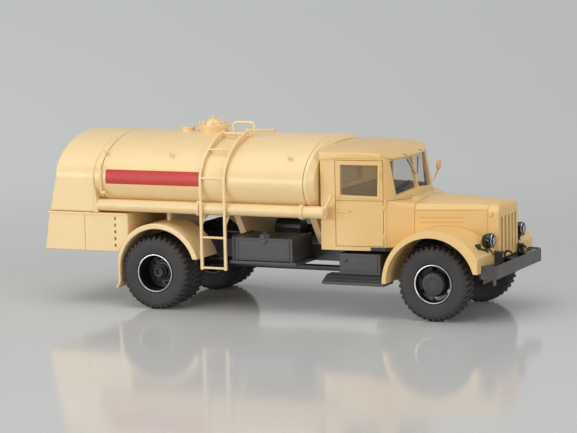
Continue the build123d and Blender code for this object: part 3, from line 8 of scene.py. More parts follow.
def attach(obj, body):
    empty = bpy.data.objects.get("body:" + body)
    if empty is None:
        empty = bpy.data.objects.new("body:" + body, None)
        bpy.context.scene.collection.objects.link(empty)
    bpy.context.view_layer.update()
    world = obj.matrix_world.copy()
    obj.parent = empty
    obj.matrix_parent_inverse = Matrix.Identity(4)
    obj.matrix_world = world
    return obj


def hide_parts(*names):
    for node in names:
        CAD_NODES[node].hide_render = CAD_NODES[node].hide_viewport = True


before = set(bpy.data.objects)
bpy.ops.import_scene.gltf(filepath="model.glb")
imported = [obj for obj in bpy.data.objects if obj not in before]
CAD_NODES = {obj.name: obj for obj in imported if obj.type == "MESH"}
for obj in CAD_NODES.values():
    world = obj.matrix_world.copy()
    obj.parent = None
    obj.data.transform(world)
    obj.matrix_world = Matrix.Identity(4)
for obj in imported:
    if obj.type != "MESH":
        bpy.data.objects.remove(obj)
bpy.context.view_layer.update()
SCENE = bpy.context.scene

# Everything below is drawn in millimetres, X forward, Y left, Z up, and scaled once in piece().
MM = 0.001
WELD = 0.004
SIDES = (("right", -1), ("left", 1))

# The same places as the solids have
REAR_AXLE_X, FRONT_AXLE_X, AXLE_Z = -41.6, 63.5, 13.1
FRONT_TRACK, TWIN_INNER, TWIN_OUTER, TWIN_MIDDLE = 22.2, 18.9, 27.25, 23.08
TANK_A, TANK_B, TANK_Z = 29.9, 15.3, 46.5
TANK_REAR_X = -65.6
CAB_REAR_X, CAB_FRONT_X, COWL_FRONT_X = 21.4, 45.1, 53.7
CAB_HALF, CAB_BOTTOM_Z, BELT_Z, DRIP_Z = 24.5, 23.5, 42.4, 55.8
COWL_HALF, BONNET_FRONT_HALF, BONNET_FRONT_X, GRILLE_FRONT_X = 17.2, 10.1, 78.2, 82.3
CABINET_TOP_Z, CABINET_BOTTOM_Z, CABINET_FRONT_X = 34.2, 20.0, -52.5
HOUSING_REAR_X, HOUSING_FLARE_X, CABINET_REAR_X = -82.0, -84.8, -87.0
MUDGUARD_X, MUDGUARD_Z, MUDGUARD_R, MUDGUARD_WALL = -40.6, 14.2, 15.0, 1.9
FENDER_X, FENDER_OUTER_R, FENDER_INNER_R = 64.6, 19.0, 16.4
TUBE_Y, TUBE_Z, TUBE_R, TUBE_FRONT_X = 27.7, 36.9, 2.2, 23.4
LAMP_Y, LAMP_Z = 15.5, 27.7
MANHOLE_X, FILLER_X = -31.6, -42.1


# Materials

def tone(red, green, blue):
    """A screen colour as the shader's linear one."""
    def linear(c):
        c /= 255
        return c / 12.92 if c <= 0.04045 else ((c + 0.055) / 1.055) ** 2.4
    return (linear(red), linear(green), linear(blue), 1.0)


def material(name, light, dark, rough, grain=900.0, bump=0.02, patch=60.0, **sockets):
    """A finish whose colour drifts between two tones, with mottled gloss and a fine grain."""
    made = bpy.data.materials.new(name)
    made.use_nodes = True
    nodes, links = made.node_tree.nodes, made.node_tree.links
    shader = nodes["Principled BSDF"]
    for socket, value in sockets.items():
        shader.inputs[socket.replace("_", " ")].default_value = value
    place = nodes.new("ShaderNodeTexCoord")

    def noise(scale, detail):
        node = nodes.new("ShaderNodeTexNoise")
        node.inputs["Scale"].default_value = scale
        node.inputs["Detail"].default_value = detail
        links.new(place.outputs["Object"], node.inputs["Vector"])
        return node.outputs["Fac"]

    drift = noise(patch, 3.0)
    ramp = nodes.new("ShaderNodeValToRGB")
    ramp.color_ramp.elements[0].position, ramp.color_ramp.elements[1].position = 0.35, 0.65
    ramp.color_ramp.elements[0].color, ramp.color_ramp.elements[1].color = tone(*dark), tone(*light)
    links.new(drift, ramp.inputs["Fac"])
    links.new(ramp.outputs["Color"], shader.inputs["Base Color"])
    gloss = nodes.new("ShaderNodeMapRange")
    gloss.inputs["To Min"].default_value = rough * 0.88
    gloss.inputs["To Max"].default_value = rough * 1.12
    links.new(noise(patch * 3, 2.0), gloss.inputs["Value"])
    links.new(gloss.outputs["Result"], shader.inputs["Roughness"])
    relief = nodes.new("ShaderNodeBump")
    relief.inputs["Distance"].default_value = bump * MM
    relief.inputs["Strength"].default_value = 1.0
    links.new(noise(grain, 2.0), relief.inputs["Height"])
    links.new(relief.outputs["Normal"], shader.inputs["Normal"])
    return made


TANK_PAINT = material("tank_paint", (245, 215, 160), (241, 210, 154), 0.4, bump=0.006,
                      Coat_Weight=0.4, Coat_Roughness=0.2)
CAB_PAINT = material("cab_paint", (238, 198, 129), (234, 193, 124), 0.4, bump=0.006,
                     Coat_Weight=0.4, Coat_Roughness=0.2)
# The groove and slot browns are painted shade, laid in panel lines, louvres and the grille's slots.
GROOVE_SHADE = material("groove_shade", (142, 102, 56), (126, 90, 48), 0.7)
SLOT_SHADE = material("slot_shade", (96, 64, 28), (82, 54, 22), 0.7)
PLASTIC = material("chassis_plastic", (64, 63, 64), (55, 54, 55), 0.36, bump=0.01)
BUMPER_PLASTIC = material("bumper_plastic", (82, 80, 80), (75, 73, 73), 0.34, bump=0.01)
GLOSS_BLACK = material("gloss_black", (20, 20, 21), (16, 16, 17), 0.16, bump=0.004)
CABIN = material("cabin_plastic", (52, 49, 48), (44, 42, 41), 0.6, bump=0.02)
RUBBER = material("tyre_rubber", (62, 60, 59), (54, 52, 51), 0.66, grain=2600, bump=0.02)
WHEEL = material("wheel_black", (24, 23, 23), (19, 18, 18), 0.34, bump=0.006)
HUB = material("hub_plastic", (66, 62, 60), (58, 55, 53), 0.5, bump=0.01)
SILVER = material("silver_ring", (214, 216, 216), (196, 198, 199), 0.28, bump=0.004, Metallic=0.7)
WIPER_GREY = material("wiper_grey", (206, 202, 192), (190, 186, 176), 0.4, bump=0.004, Metallic=0.3)
CHROME = material("lamp_chrome", (232, 233, 235), (216, 218, 221), 0.12, bump=0.002, Metallic=1.0)
GLASS = material("window_glass", (150, 156, 158), (144, 150, 152), 0.04, bump=0.0, Alpha=0.1)
# The side glass's pale beige tint is painted light, standing in for the lit cab inside seen through the side
# windows.
SIDE_GLASS = material("side_glass", (214, 190, 150), (206, 182, 142), 0.05, bump=0.0, Alpha=0.14)
LENS = material("lamp_lens", (250, 251, 252), (244, 246, 248), 0.06, grain=1500, bump=0.02,
                Transmission_Weight=1.0, IOR=1.4)
RED_LAMP = material("lamp_red", (168, 26, 22), (148, 18, 16), 0.2, bump=0.004)
RED_STRIPE = material("red_stripe", (204, 58, 48), (194, 50, 42), 0.45, bump=0.004)


# Mesh building

AXES = {
    "x": (Vector((0, 1, 0)), Vector((0, 0, 1)), Vector((1, 0, 0))),
    "y": (Vector((1, 0, 0)), Vector((0, 0, 1)), Vector((0, 1, 0))),
    "z": (Vector((1, 0, 0)), Vector((0, 1, 0)), Vector((0, 0, 1))),
}


def opened(*meshes):
    """A bmesh with the faces of one mesh or more."""
    bm = bmesh.new()
    for mesh in meshes:
        bm.from_mesh(mesh)
    return bm


def to_mesh(bm, name="work"):
    """The mesh that a bmesh holds."""
    mesh = bpy.data.meshes.new(name)
    bm.to_mesh(mesh)
    bm.free()
    return mesh


def loft(rings, closed=False, finish=0):
    """A mesh between rings with as many points each; closed joins the last ring to the first."""
    bm = bmesh.new()
    loops = [[bm.verts.new(point) for point in ring] for ring in rings]
    pairs = list(zip(loops, loops[1:])) + ([(loops[-1], loops[0])] if closed else [])
    for a, b in pairs:
        for n in range(len(a)):
            bm.faces.new((a[n - 1], a[n], b[n], b[n - 1]))
    if not closed:
        bm.faces.new(loops[0])
        bm.faces.new(loops[-1])
    bmesh.ops.recalc_face_normals(bm, faces=bm.faces)
    for face in bm.faces:
        face.material_index = finish
    return to_mesh(bm)


def round_ring(centre, axis, radius, along, sides):
    """Points on a circle about an axis, some way along it."""
    u, v, w = AXES[axis]
    angles = [2 * pi * n / sides for n in range(sides)]
    return [Vector(centre) + w * along + (u * cos(a) + v * sin(a)) * radius for a in angles]


def revolve(profile, centre, axis, sides, closed=False, finish=0):
    """A turned shape from (radius, distance along the axis) pairs."""
    rings = [round_ring(centre, axis, radius, along, sides) for radius, along in profile]
    return loft(rings, closed, finish)


def prism(outline, axis, start, end, finish=0):
    """A flat outline run along an axis. Outlines for x are (Y, Z), for y (X, Z), for z (X, Y)."""
    u, v, w = AXES[axis]
    return loft([[u * a + v * b + w * at for a, b in outline] for at in (start, end)], finish=finish)


def box(x0, x1, y0, y1, z0, z1, finish=0):
    """A box between two corners."""
    return prism(((x0, y0), (x1, y0), (x1, y1), (x0, y1)), "z", z0, z1, finish)


def arc(x, z, radius, start, end, steps=32):
    """Points on an arc between two angles in degrees."""
    turns = [radians(start + (end - start) * n / steps) for n in range(steps + 1)]
    return [(x + radius * cos(a), z + radius * sin(a)) for a in turns]


def fillet(points, radius, steps=6):
    """A path with its inner corners rounded."""
    path = [Vector(points[0])]
    for before, corner, after in zip(points, points[1:], points[2:]):
        corner = Vector(corner)
        back, on = (Vector(before) - corner), (Vector(after) - corner)
        cut = min(radius, back.length * 0.49, on.length * 0.49)
        a, b = corner + back.normalized() * cut, corner + on.normalized() * cut
        for n in range(steps + 1):
            t = n / steps
            path.append(a * (1 - t) ** 2 + corner * 2 * t * (1 - t) + b * t * t)
    return path + [Vector(points[-1])]


def pipe(points, radius, sides, finish=0):
    """A round bar along a path."""
    points = [Vector(p) for p in points]
    count = len(points)
    rings, side = [], None
    for n, point in enumerate(points):
        along = points[min(n + 1, count - 1)] - points[max(n - 1, 0)]
        along.normalize()
        if side is None:
            side = along.orthogonal()
        side = (side - along * side.dot(along)).normalized()
        other = along.cross(side)
        turns = [2 * pi * k / sides for k in range(sides)]
        rings.append([point + side * cos(a) * radius + other * sin(a) * radius for a in turns])
    return loft(rings, finish=finish)


def join(*meshes):
    """Several meshes in one, left as separate shells."""
    return to_mesh(opened(*meshes))


def boolean(mesh, tool, operation="DIFFERENCE"):
    """A closed mesh cut by another, or joined to it, or kept where both are."""
    pair = [bpy.data.objects.new("work", m) for m in (mesh, tool)]
    for one in pair:
        SCENE.collection.objects.link(one)
    step = pair[0].modifiers.new("step", "BOOLEAN")
    step.operation, step.solver, step.object = operation, "EXACT", pair[1]
    graph = bpy.context.evaluated_depsgraph_get()
    result = bpy.data.meshes.new_from_object(pair[0].evaluated_get(graph))
    for one in pair:
        bpy.data.objects.remove(one)
    return result


def cleaned(mesh):
    """The mesh without the slivers that cuts leave."""
    bm = opened(mesh)
    bmesh.ops.remove_doubles(bm, verts=bm.verts, dist=WELD)
    bmesh.ops.dissolve_degenerate(bm, edges=bm.edges, dist=WELD)
    return to_mesh(bm)


def rolled(mesh, width, segments=3, sharp=30.0):
    """The mesh with its sharp edges rounded."""
    bm = opened(mesh)
    bmesh.ops.remove_doubles(bm, verts=bm.verts, dist=WELD)
    bmesh.ops.dissolve_limit(bm, angle_limit=radians(0.5), verts=bm.verts, edges=bm.edges)
    edges = [e for e in bm.edges if len(e.link_faces) == 2 and e.calc_face_angle() > radians(sharp)]
    bmesh.ops.bevel(bm, geom=edges, offset=width, offset_type="OFFSET", segments=segments,
                    profile=0.5, affect="EDGES", clamp_overlap=True)
    return to_mesh(bm)


def mirrored(mesh):
    """The mesh's mirror image on the other side of the truck."""
    bm = opened(mesh)
    bmesh.ops.scale(bm, vec=(1, -1, 1), verts=bm.verts)
    bmesh.ops.reverse_faces(bm, faces=bm.faces)
    return to_mesh(bm)


def pair(mesh):
    """The mesh on both sides of the truck."""
    return join(mesh, mirrored(mesh))


def piece(name, mesh, finishes, nodes=(), body="root", smooth=35.0):
    """Puts a mesh in the scene, as a piece that rides on a body and may stand for CAD nodes."""
    bm = opened(mesh)
    bmesh.ops.scale(bm, vec=(MM,) * 3, verts=bm.verts)
    for face in bm.faces:
        face.smooth = True
    for edge in bm.edges:
        edge.smooth = len(edge.link_faces) == 2 and edge.calc_face_angle() < radians(smooth)
    made = to_mesh(bm, name)
    for finish in finishes if isinstance(finishes, (list, tuple)) else [finishes]:
        made.materials.append(finish)
    item = bpy.data.objects.new(name, made)
    SCENE.collection.objects.link(item)
    weight = item.modifiers.new("weight", "WEIGHTED_NORMAL")
    weight.keep_sharp = True
    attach(item, body)
    if nodes:
        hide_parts(*nodes)
    return item


# Wheels

TYRE_PROFILE = (
    # radius, distance from the middle plane
    (7.0, -3.0), (7.25, -3.35), (7.7, -3.5), (8.6, -3.68), (9.8, -3.78), (10.9, -3.78), (11.7, -3.6),
    (12.2, -3.2), (12.45, -2.6), (12.5, -1.3), (12.5, 1.3), (12.45, 2.6), (12.2, 3.2), (11.7, 3.6),
    (10.9, 3.78), (9.8, 3.78), (8.6, 3.68), (7.7, 3.5), (7.25, 3.35), (7.0, 3.0),
)
LUG_PROFILE = (
    # radius, distance from the middle plane, share of the pitch that it fills
    (12.3, 0.2, 0.5), (13.02, 0.25, 0.42), (13.1, 1.5, 0.44), (13.02, 2.5, 0.46), (12.72, 3.2, 0.48),
    (12.2, 3.62, 0.52), (11.6, 3.79, 0.6), (11.5, 3.5, 0.62), (12.0, 2.9, 0.56),
)
LUGS = 38


def lug(x, y, side, turn):
    """One tread lug, slanted, that folds down over the shoulder."""
    rings = []
    for edge in (-1, 1):
        ring = []
        for radius, along, fill in LUG_PROFILE:
            angle = turn + edge * fill * pi / LUGS + 0.06 * (1 - along / 3.8)
            ring.append((x + radius * cos(angle), y + side * along, AXLE_Z + radius * sin(angle)))
        rings.append(ring)
    return loft(rings)


def tyre(x, y):
    """A tyre with smooth walls and staggered lugs on both shoulders."""
    shells = [revolve(TYRE_PROFILE, (x, y, AXLE_Z), "y", 96, closed=True)]
    for n in range(LUGS):
        for side, shift in ((1, 0.0), (-1, 0.5)):
            shells.append(lug(x, y, side, 2 * pi * (n + shift) / LUGS))
    return join(*shells)


def studs(x, y, side, ring_r, count, stud_r, length):
    """A ring of hexagonal nuts, each with its bolt end."""
    shells = []
    for n in range(count):
        angle = 2 * pi * n / count
        centre = (x + ring_r * cos(angle), y, AXLE_Z + ring_r * sin(angle))
        nut = [(stud_r, 0.0), (stud_r, side * length * 0.55), (stud_r * 0.8, side * length * 0.62)]
        bolt = [(stud_r * 0.5, 0.0), (stud_r * 0.5, side * length * 0.9), (stud_r * 0.3, side * length)]
        shells += [revolve(nut, centre, "y", 6, finish=2), revolve(bolt, centre, "y", 8, finish=2)]
    return join(*shells)


def rim_ring(x, y, side):
    """The bright lock ring round a rim's outer edge."""
    profile = ((6.4, 3.1), (6.45, 3.42), (6.6, 3.55), (6.8, 3.5), (6.9, 3.3), (6.85, 3.0))
    return revolve([(r, side * a) for r, a in profile], (x, y, AXLE_Z), "y", 96, closed=True, finish=1)


def front_rim(side):
    """A disc wheel with hand holes and a broad hub with nuts on its face."""
    x, y = FRONT_AXLE_X, side * FRONT_TRACK
    centre = (x, y, AXLE_Z)
    dish = ((6.9, -3.3), (6.9, 3.1), (6.4, 3.15), (6.3, 1.6), (5.9, 1.2), (4.6, 1.0), (4.1, 0.8),
            (3.9, 0.4), (3.9, -0.6), (6.2, -0.8), (6.3, -3.3))
    body = revolve([(r, side * a) for r, a in dish], centre, "y", 96, closed=True)
    holes = []
    for n in range(6):
        angle = radians(30 + 60 * n)
        spot = (x + 5.25 * cos(angle), y, AXLE_Z + 5.25 * sin(angle))
        hole = revolve(((0.62, -2.0), (0.62, 3.0)), (0, 0, 0), "y", 20)
        hole.transform(Matrix.Diagonal((1, 1, 1.75, 1)))
        hole.transform(Matrix.Translation(spot) @ Matrix.Rotation(-angle, 4, "Y"))
        holes.append(hole)
    body = boolean(body, join(*holes))
    hub = ((0.6, 3.55), (1.9, 3.55), (2.0, 3.7), (2.2, 3.7), (2.3, 3.55), (3.5, 3.55), (3.85, 3.4),
           (4.0, 3.1), (4.1, 0.8), (3.0, -0.7), (3.0, -3.0), (0.6, -3.0))
    hub = revolve([(r, side * a) for r, a in hub], centre, "y", 64, finish=2)
    nuts = studs(x, y + side * 3.5, side, 2.95, 10, 0.32, 0.3)
    return join(body, rim_ring(x, y, side), hub, nuts)


def rear_rims(side):
    """The twin rims with their deep dish, a small hub and its ring of nuts."""
    x = REAR_AXLE_X
    centre = (x, 0, AXLE_Z)
    outer, middle, inner = TWIN_OUTER, TWIN_MIDDLE, TWIN_INNER
    dish = ((6.9, inner - 3.3), (6.9, outer + 3.1), (6.4, outer + 3.15), (6.3, middle + 1.8),
            (5.9, middle + 1.2), (2.2, middle + 1.2), (2.2, middle - 1.0), (5.9, middle - 1.0),
            (6.3, inner - 3.3))
    body = revolve([(r, side * a) for r, a in dish], centre, "y", 96, closed=True)
    hub = ((0.9, outer - 0.4), (1.1, outer + 0.5), (1.6, outer + 0.6), (1.9, outer + 0.35),
           (2.0, outer - 0.6), (2.5, outer - 0.8), (2.6, outer - 1.6), (2.6, middle + 2.2),
           (3.4, middle + 2.0), (3.6, middle + 1.0), (3.0, inner - 1.0), (0.9, inner - 1.0))
    hub = revolve([(r, side * a) for r, a in hub], centre, "y", 48, finish=2)
    nuts = studs(x, side * (middle + 1.2), side, 4.4, 10, 0.45, 1.3)
    hub_nuts = studs(x, side * (outer - 0.9), side, 2.25, 8, 0.2, 0.35)
    return join(body, rim_ring(x, side * outer, side), hub, nuts, hub_nuts)


for side_name, side in SIDES:
    body_name = f"wheel_front_{side_name}"
    piece(f"front_tyre_{side_name}", tyre(FRONT_AXLE_X, side * FRONT_TRACK), RUBBER,
          [f"tyre_front_{side_name}"], body_name, 28)
    piece(f"front_wheel_{side_name}", front_rim(side), (WHEEL, SILVER, HUB),
          [f"rim_front_{side_name}"], body_name)
    body_name = f"wheel_rear_{side_name}"
    twins = join(*[tyre(REAR_AXLE_X, side * y) for y in (TWIN_INNER, TWIN_OUTER)])
    piece(f"rear_tyres_{side_name}_pair", twins, RUBBER,
          [f"tyres_rear_{side_name}"], body_name, 28)
    piece(f"rear_wheels_{side_name}", rear_rims(side), (WHEEL, SILVER, HUB),
          [f"rims_rear_{side_name}"], body_name)


# Tank

def ellipse_ring(x, grow=0.0, steps=160):
    """Points round the tank's section, grown outwards."""
    turns = [2 * pi * n / steps for n in range(steps)]
    return [(x, (TANK_A + grow) * cos(a), TANK_Z + (TANK_B + grow) * sin(a)) for a in turns]


def tank_height(y, grow=0.0):
    """The height of the tank's skin at a distance from its middle."""
    return TANK_Z + (TANK_B + grow) * sqrt(1 - (y / (TANK_A + grow)) ** 2)


def tank_patch(x0, x1, start, end, low, high, steps):
    """A thin plate that lies on the tank between two angles, in degrees from the middle of its right side."""
    turns = [radians(180 - start - (end - start) * n / steps) for n in range(steps + 1)]
    curve = [[((TANK_A + g) * cos(a), TANK_Z + (TANK_B + g) * sin(a)) for a in turns] for g in (low, high)]
    return prism(curve[1] + curve[0][::-1], "x", x0, x1)


def stripe_angle(z):
    """The angle on the tank's side at a height, in degrees above its middle."""
    share = (z - TANK_Z) / TANK_B
    return 90 - acos(share) * 180 / pi


SKIRT = (
    # place along the tank, how far its skin stands out there
    (TANK_REAR_X, 0.0), (-63.2, 0.0), (-63.15, -0.25), (-62.85, -0.25), (-62.8, 0.0), (16.85, 0.0),
    (16.9, -0.25), (17.15, -0.25), (17.2, 0.14), (18.1, 0.14), (18.45, 0.02), (18.7, -0.25), (19.2, -0.7),
    (19.9, -1.25), (20.4, -1.8), (20.45, -4.0), (20.5, -8.0),
)
GROOVE = ((-0.14, -0.4), (0.14, -0.4), (0.14, -0.16), (-0.14, -0.16))
shells = [loft([ellipse_ring(x, grow) for x, grow in SKIRT])]
# The two rings in the groove brown sit in the tank's grooves as painted shade.
for x in (-63.0, 17.02):
    shells.append(loft([ellipse_ring(x + dx, grow) for dx, grow in GROOVE], closed=True, finish=1))
seam = tank_patch(-62.8, 16.9, 58.6, 59.6, -0.3, 0.1, 4)
shells += [seam, mirrored(seam)]
piece("tank_body", join(*shells), (TANK_PAINT, GROOVE_SHADE), ["tank_shell"])
stripe = tank_patch(-61.1, -22.5, stripe_angle(44.9), stripe_angle(50.0), -0.2, 0.04, 12)
piece("tank_stripes", pair(stripe), RED_STRIPE)


# Rear housing and cabinet

def section_top(steps=96):
    """The tank's upper half as (Y, Z) points, from right to left."""
    turns = [pi - pi * n / steps for n in range(steps + 1)]
    return [(TANK_A * cos(a), TANK_Z + TANK_B * sin(a)) for a in turns]


def back_cut(half, low, high, y=0.0):
    """A panel line on the housing's sloping back, as the bar that cuts it."""
    slope = (HOUSING_REAR_X - HOUSING_FLARE_X) / (TANK_Z - CABINET_TOP_Z)
    depth = 0.25
    ends = [(min(HOUSING_REAR_X, HOUSING_REAR_X + slope * (z - TANK_Z)) + depth, z) for z in (low, high)]
    middle = [(HOUSING_REAR_X + depth, TANK_Z)] if low < TANK_Z < high else []
    return prism([(-90, low), ends[0], *middle, ends[1], (-90, high)], "y", y - half, y + half)


def housing():
    """The rear housing, rounded above and flared at the back, with its door lines."""
    low = CABINET_TOP_Z + 0.05
    shape = prism(section_top() + [(TANK_A, low), (-TANK_A, low)], "x", -90, TANK_REAR_X - 0.05)
    side = ((-60, 0), (HOUSING_FLARE_X, 0), (HOUSING_FLARE_X, CABINET_TOP_Z), (HOUSING_REAR_X, TANK_Z),
            (HOUSING_REAR_X, 90), (-60, 90))
    shape = rolled(boolean(shape, prism(side, "y", -60, 60), "INTERSECT"), 0.9, 4, 40)
    for y in (-25.0, 0.0, 25.0):
        shape = boolean(shape, back_cut(0.12, low + 0.6, 52.0, y))
    return boolean(shape, back_cut(25.12, 51.9, 52.15))


piece("housing_body", housing(), TANK_PAINT, ["rear_housing"])


LOUVRES = 5


def round_space(x, z, radius, half):
    """The round space under a fender or mudguard, as the drum that cuts it."""
    return prism(arc(x, z, radius, 0, 360, 120)[:-1], "y", -half, half)


def cabinet():
    """The pump cabinet with its ledge, doors and louvres."""
    side = ((CABINET_REAR_X, CABINET_BOTTOM_Z), (CABINET_FRONT_X, CABINET_BOTTOM_Z),
            (CABINET_FRONT_X, CABINET_TOP_Z), (HOUSING_FLARE_X, CABINET_TOP_Z))
    shape = prism(side, "y", -TANK_A, TANK_A)
    shape = rolled(shape, 0.5, 3)
    half = TANK_A + 0.4
    ledge = box(HOUSING_FLARE_X - 0.4, CABINET_FRONT_X + 0.05, -half, half, 33.45, CABINET_TOP_Z)
    shape = boolean(shape, rolled(ledge, 0.18, 2), "UNION")
    channel = box(-83, -50, -11.5, 11.5, 15, 23.4)
    wheel = round_space(MUDGUARD_X, MUDGUARD_Z, MUDGUARD_R + MUDGUARD_WALL + 0.05, 40)
    tank = loft([ellipse_ring(x, 0.05) for x in (TANK_REAR_X - 0.05, -50)])
    for tool in (channel, wheel, tank):
        shape = boolean(shape, tool)
    marks, shades = [box(-70.25, -69.95, -40, -TANK_A + 0.25, 18, 33.3)], []
    # At the bottom of each louvre cut sits a plate in the groove brown, as painted shade.
    for n in range(LOUVRES):
        z = 27.4 + 2.45 * (n - 2)
        marks.append(box(-58.0, -57.3, -40, -TANK_A + 0.35, z - 0.55, z + 0.55))
        shades.append(box(-58.1, -57.2, -TANK_A + 0.25, -TANK_A + 0.6, z - 0.65, z + 0.65, 1))
    return join(boolean(shape, join(*[pair(mark) for mark in marks])), *[pair(shade) for shade in shades])


piece("cabinet_body", cabinet(), (TANK_PAINT, GROOVE_SHADE), ["lower_cabinet"])
lamp = revolve(((1.4, 0.0), (1.4, -0.45), (1.1, -0.8), (0.5, -0.95)), (-86.0, -25.5, 23.2), "x", 24)
piece("tail_lamp_pair", pair(lamp), RED_LAMP, ["tail_lamps"])


# Mudguards and fenders

def mudguard_arc(radius, tail, start, end, steps=60):
    """The mudguard's arc, which draws in towards the tyre at its tail."""
    points = []
    for n in range(steps + 1):
        a = start + (end - start) * n / steps
        r = radius - (radius - tail) * max(0.0, (a - 110) / 70) ** 2
        points.append((MUDGUARD_X + r * cos(radians(a)), MUDGUARD_Z + r * sin(radians(a))))
    return points


def rear_mudguard():
    """The right rear mudguard with its rolled rim and flared tail."""
    rise, outer_r = 4.5, MUDGUARD_R + MUDGUARD_WALL
    end_in, end_out = [180 / pi * (pi / 2 - acos(rise / r)) for r in (MUDGUARD_R, outer_r)]
    tail_x = MUDGUARD_X - 15.7
    outline = mudguard_arc(outer_r, 15.7, end_out, 180)
    outline += [(tail_x, 10.0), (tail_x - 0.25, 8.8), (tail_x - 1.2, 7.2), (tail_x - 0.6, 6.9),
                (tail_x + 0.5, 8.4), (tail_x + 0.85, 10.0)]
    outline += mudguard_arc(MUDGUARD_R, 14.85, 180, end_in)
    return rolled(prism(outline, "y", -31.1, -14.6), 0.35, 3, 40)


def front_fender():
    """The right front fender, rolled along its rim."""
    outline = [(80.9, 17.6), (80.9, 22.7)] + arc(FENDER_X, AXLE_Z, FENDER_OUTER_R, 30.6, 180.6, 72)
    outline += arc(FRONT_AXLE_X, AXLE_Z, FENDER_INNER_R, 180.7, 16.0, 72)
    arch = rolled(prism(outline, "y", -28.5, -10.3), 0.85, 5, 40)
    return boolean(arch, box(30, 90, -11.45, 0, 0, 23.5))


for side_name, side in SIDES:
    turned = (lambda mesh: mesh) if side < 0 else mirrored
    piece(f"mudguard_{side_name}", turned(rear_mudguard()), TANK_PAINT,
          [f"rear_mudguard_{side_name}"])
    piece(f"fender_{side_name}", turned(front_fender()), CAB_PAINT,
          [f"front_fender_{side_name}"])


# Cab

def hull_section(x, half, edge_z, inset, bottom, steps=16):
    """Corners across the cowl or bonnet: flat sides, a crease and a crown that shrinks with the width."""
    wide = half - inset
    edge = wide - 1.1
    edge_z -= inset
    shares = [2 * n / steps - 1 for n in range(steps + 1)]
    top = [(x, edge * t, edge_z + 0.09 * edge * (1 - t * t)) for t in shares]
    return top + [(x, wide, edge_z - 2.1), (x, wide, bottom), (x, -wide, bottom), (x, -wide, edge_z - 2.1)]


SCREEN_X, SCREEN_Z, SCREEN_RAKE, SCREEN_HALF, SCREEN_VEE = 46.65, 43.1, 0.189, 15.4, 1.9
SIDE_STATIONS = (27.0, 31.0, 35.0, 38.5, 41.5)
CORNER = ((44.4, 22.4), (45.5, 20.6), (46.2, 18.6), (46.5, 16.6))


def side_half(x, z):
    """Half the cab's width, which draws in to the front and more so towards the roof."""
    taper = max(0.0, (x - 27.0) / 17.4) ** 1.6
    return CAB_HALF - taper * (2.1 + 2.4 * max(0.0, (z - BELT_Z) / (DRIP_Z - BELT_Z)))


def cab_ring(z, inset, screens=True):
    """Corners round the cab at a height, with the windscreen's two faces or a flat front."""
    rake = SCREEN_RAKE * (z - SCREEN_Z) if screens else 0.0
    lean = side_half(CORNER[0][0], z) / side_half(CORNER[0][0], BELT_Z)
    half = [(CAB_REAR_X + inset, CAB_HALF - inset)]
    half += [(x, side_half(x, z) - inset) for x in SIDE_STATIONS]
    for n, (x, y) in enumerate(CORNER):
        share = (0.35, 0.7, 0.9, 1.0)[n]
        place = x - rake * share - inset * share if screens else CAB_FRONT_X
        half.append((place, y * (1 - (1 - lean) * (1 - n / 3)) - inset * (1 - 0.5 * share)))
    if screens:
        half.append((SCREEN_X - rake - inset, SCREEN_HALF))
        half.append((SCREEN_X - rake - inset + SCREEN_VEE, 0.0))
    mirror_half = [(x, -y) for x, y in reversed(half) if y]
    return [(x, y, z) for x, y in half + mirror_half]


def cab_form(inset):
    """The cab's solid form, set in by a wall."""
    bottom = CAB_BOTTOM_Z - (1.0 if inset > 0 else 0.0)
    top_z = DRIP_Z + (1.0 if inset > 0 else 0.0)
    form = loft([cab_ring(bottom, inset, False), cab_ring(BELT_Z - 0.6, inset, False)])
    cowl = loft([hull_section(CAB_FRONT_X - 0.3, 22.3, 41.0, inset, bottom),
                 hull_section(COWL_FRONT_X - max(inset, 0.0), COWL_HALF, 39.7, inset, bottom)])
    upper = loft([cab_ring(z, inset) for z in (40.2, BELT_Z, 47.0, 51.5, top_z)])
    return boolean(boolean(form, cowl, "UNION"), upper, "UNION")


def fender_space():
    """The round space that the front fenders close off."""
    return round_space(FENDER_X, AXLE_Z, FENDER_OUTER_R + 0.05, 60)


def frame_of(outline, width, start, end, axis="y"):
    """A frame that runs round inside an outline, and its middle left open."""
    return boolean(prism(outline, axis, start, end), prism(grown(outline, -width), axis, start - 1, end + 1))


SIDE_WINDOW = ((28.8, 42.95), (42.25, 42.55), (41.95, 53.35), (28.9, 53.6))
DOOR = ((26.9, 24.9), (44.35, 24.9), (44.35, 42.0), (43.45, 55.0), (26.9, 55.3))
PANE = ((-16.4, 42.3), (-0.6, 43.6), (-0.6, 54.4), (-16.4, 54.3))


def grown(outline, by):
    """An outline with its corners moved out from its middle by a margin."""
    middle = Vector([sum(p[k] for p in outline) / len(outline) for k in (0, 1)])
    return [(a + by * (1 if a > middle.x else -1), b + by * (1 if b > middle.y else -1)) for a, b in outline]


def on_skin(tool, high, low):
    """The part of a tool that lies on the cab's skin, from one level above it to one below."""
    return boolean(boolean(tool, cab_form(-high), "INTERSECT"), cab_form(low))


def finished(mesh, finish):
    """The mesh with all its faces in one material place."""
    for face in mesh.polygons:
        face.material_index = finish
    return mesh


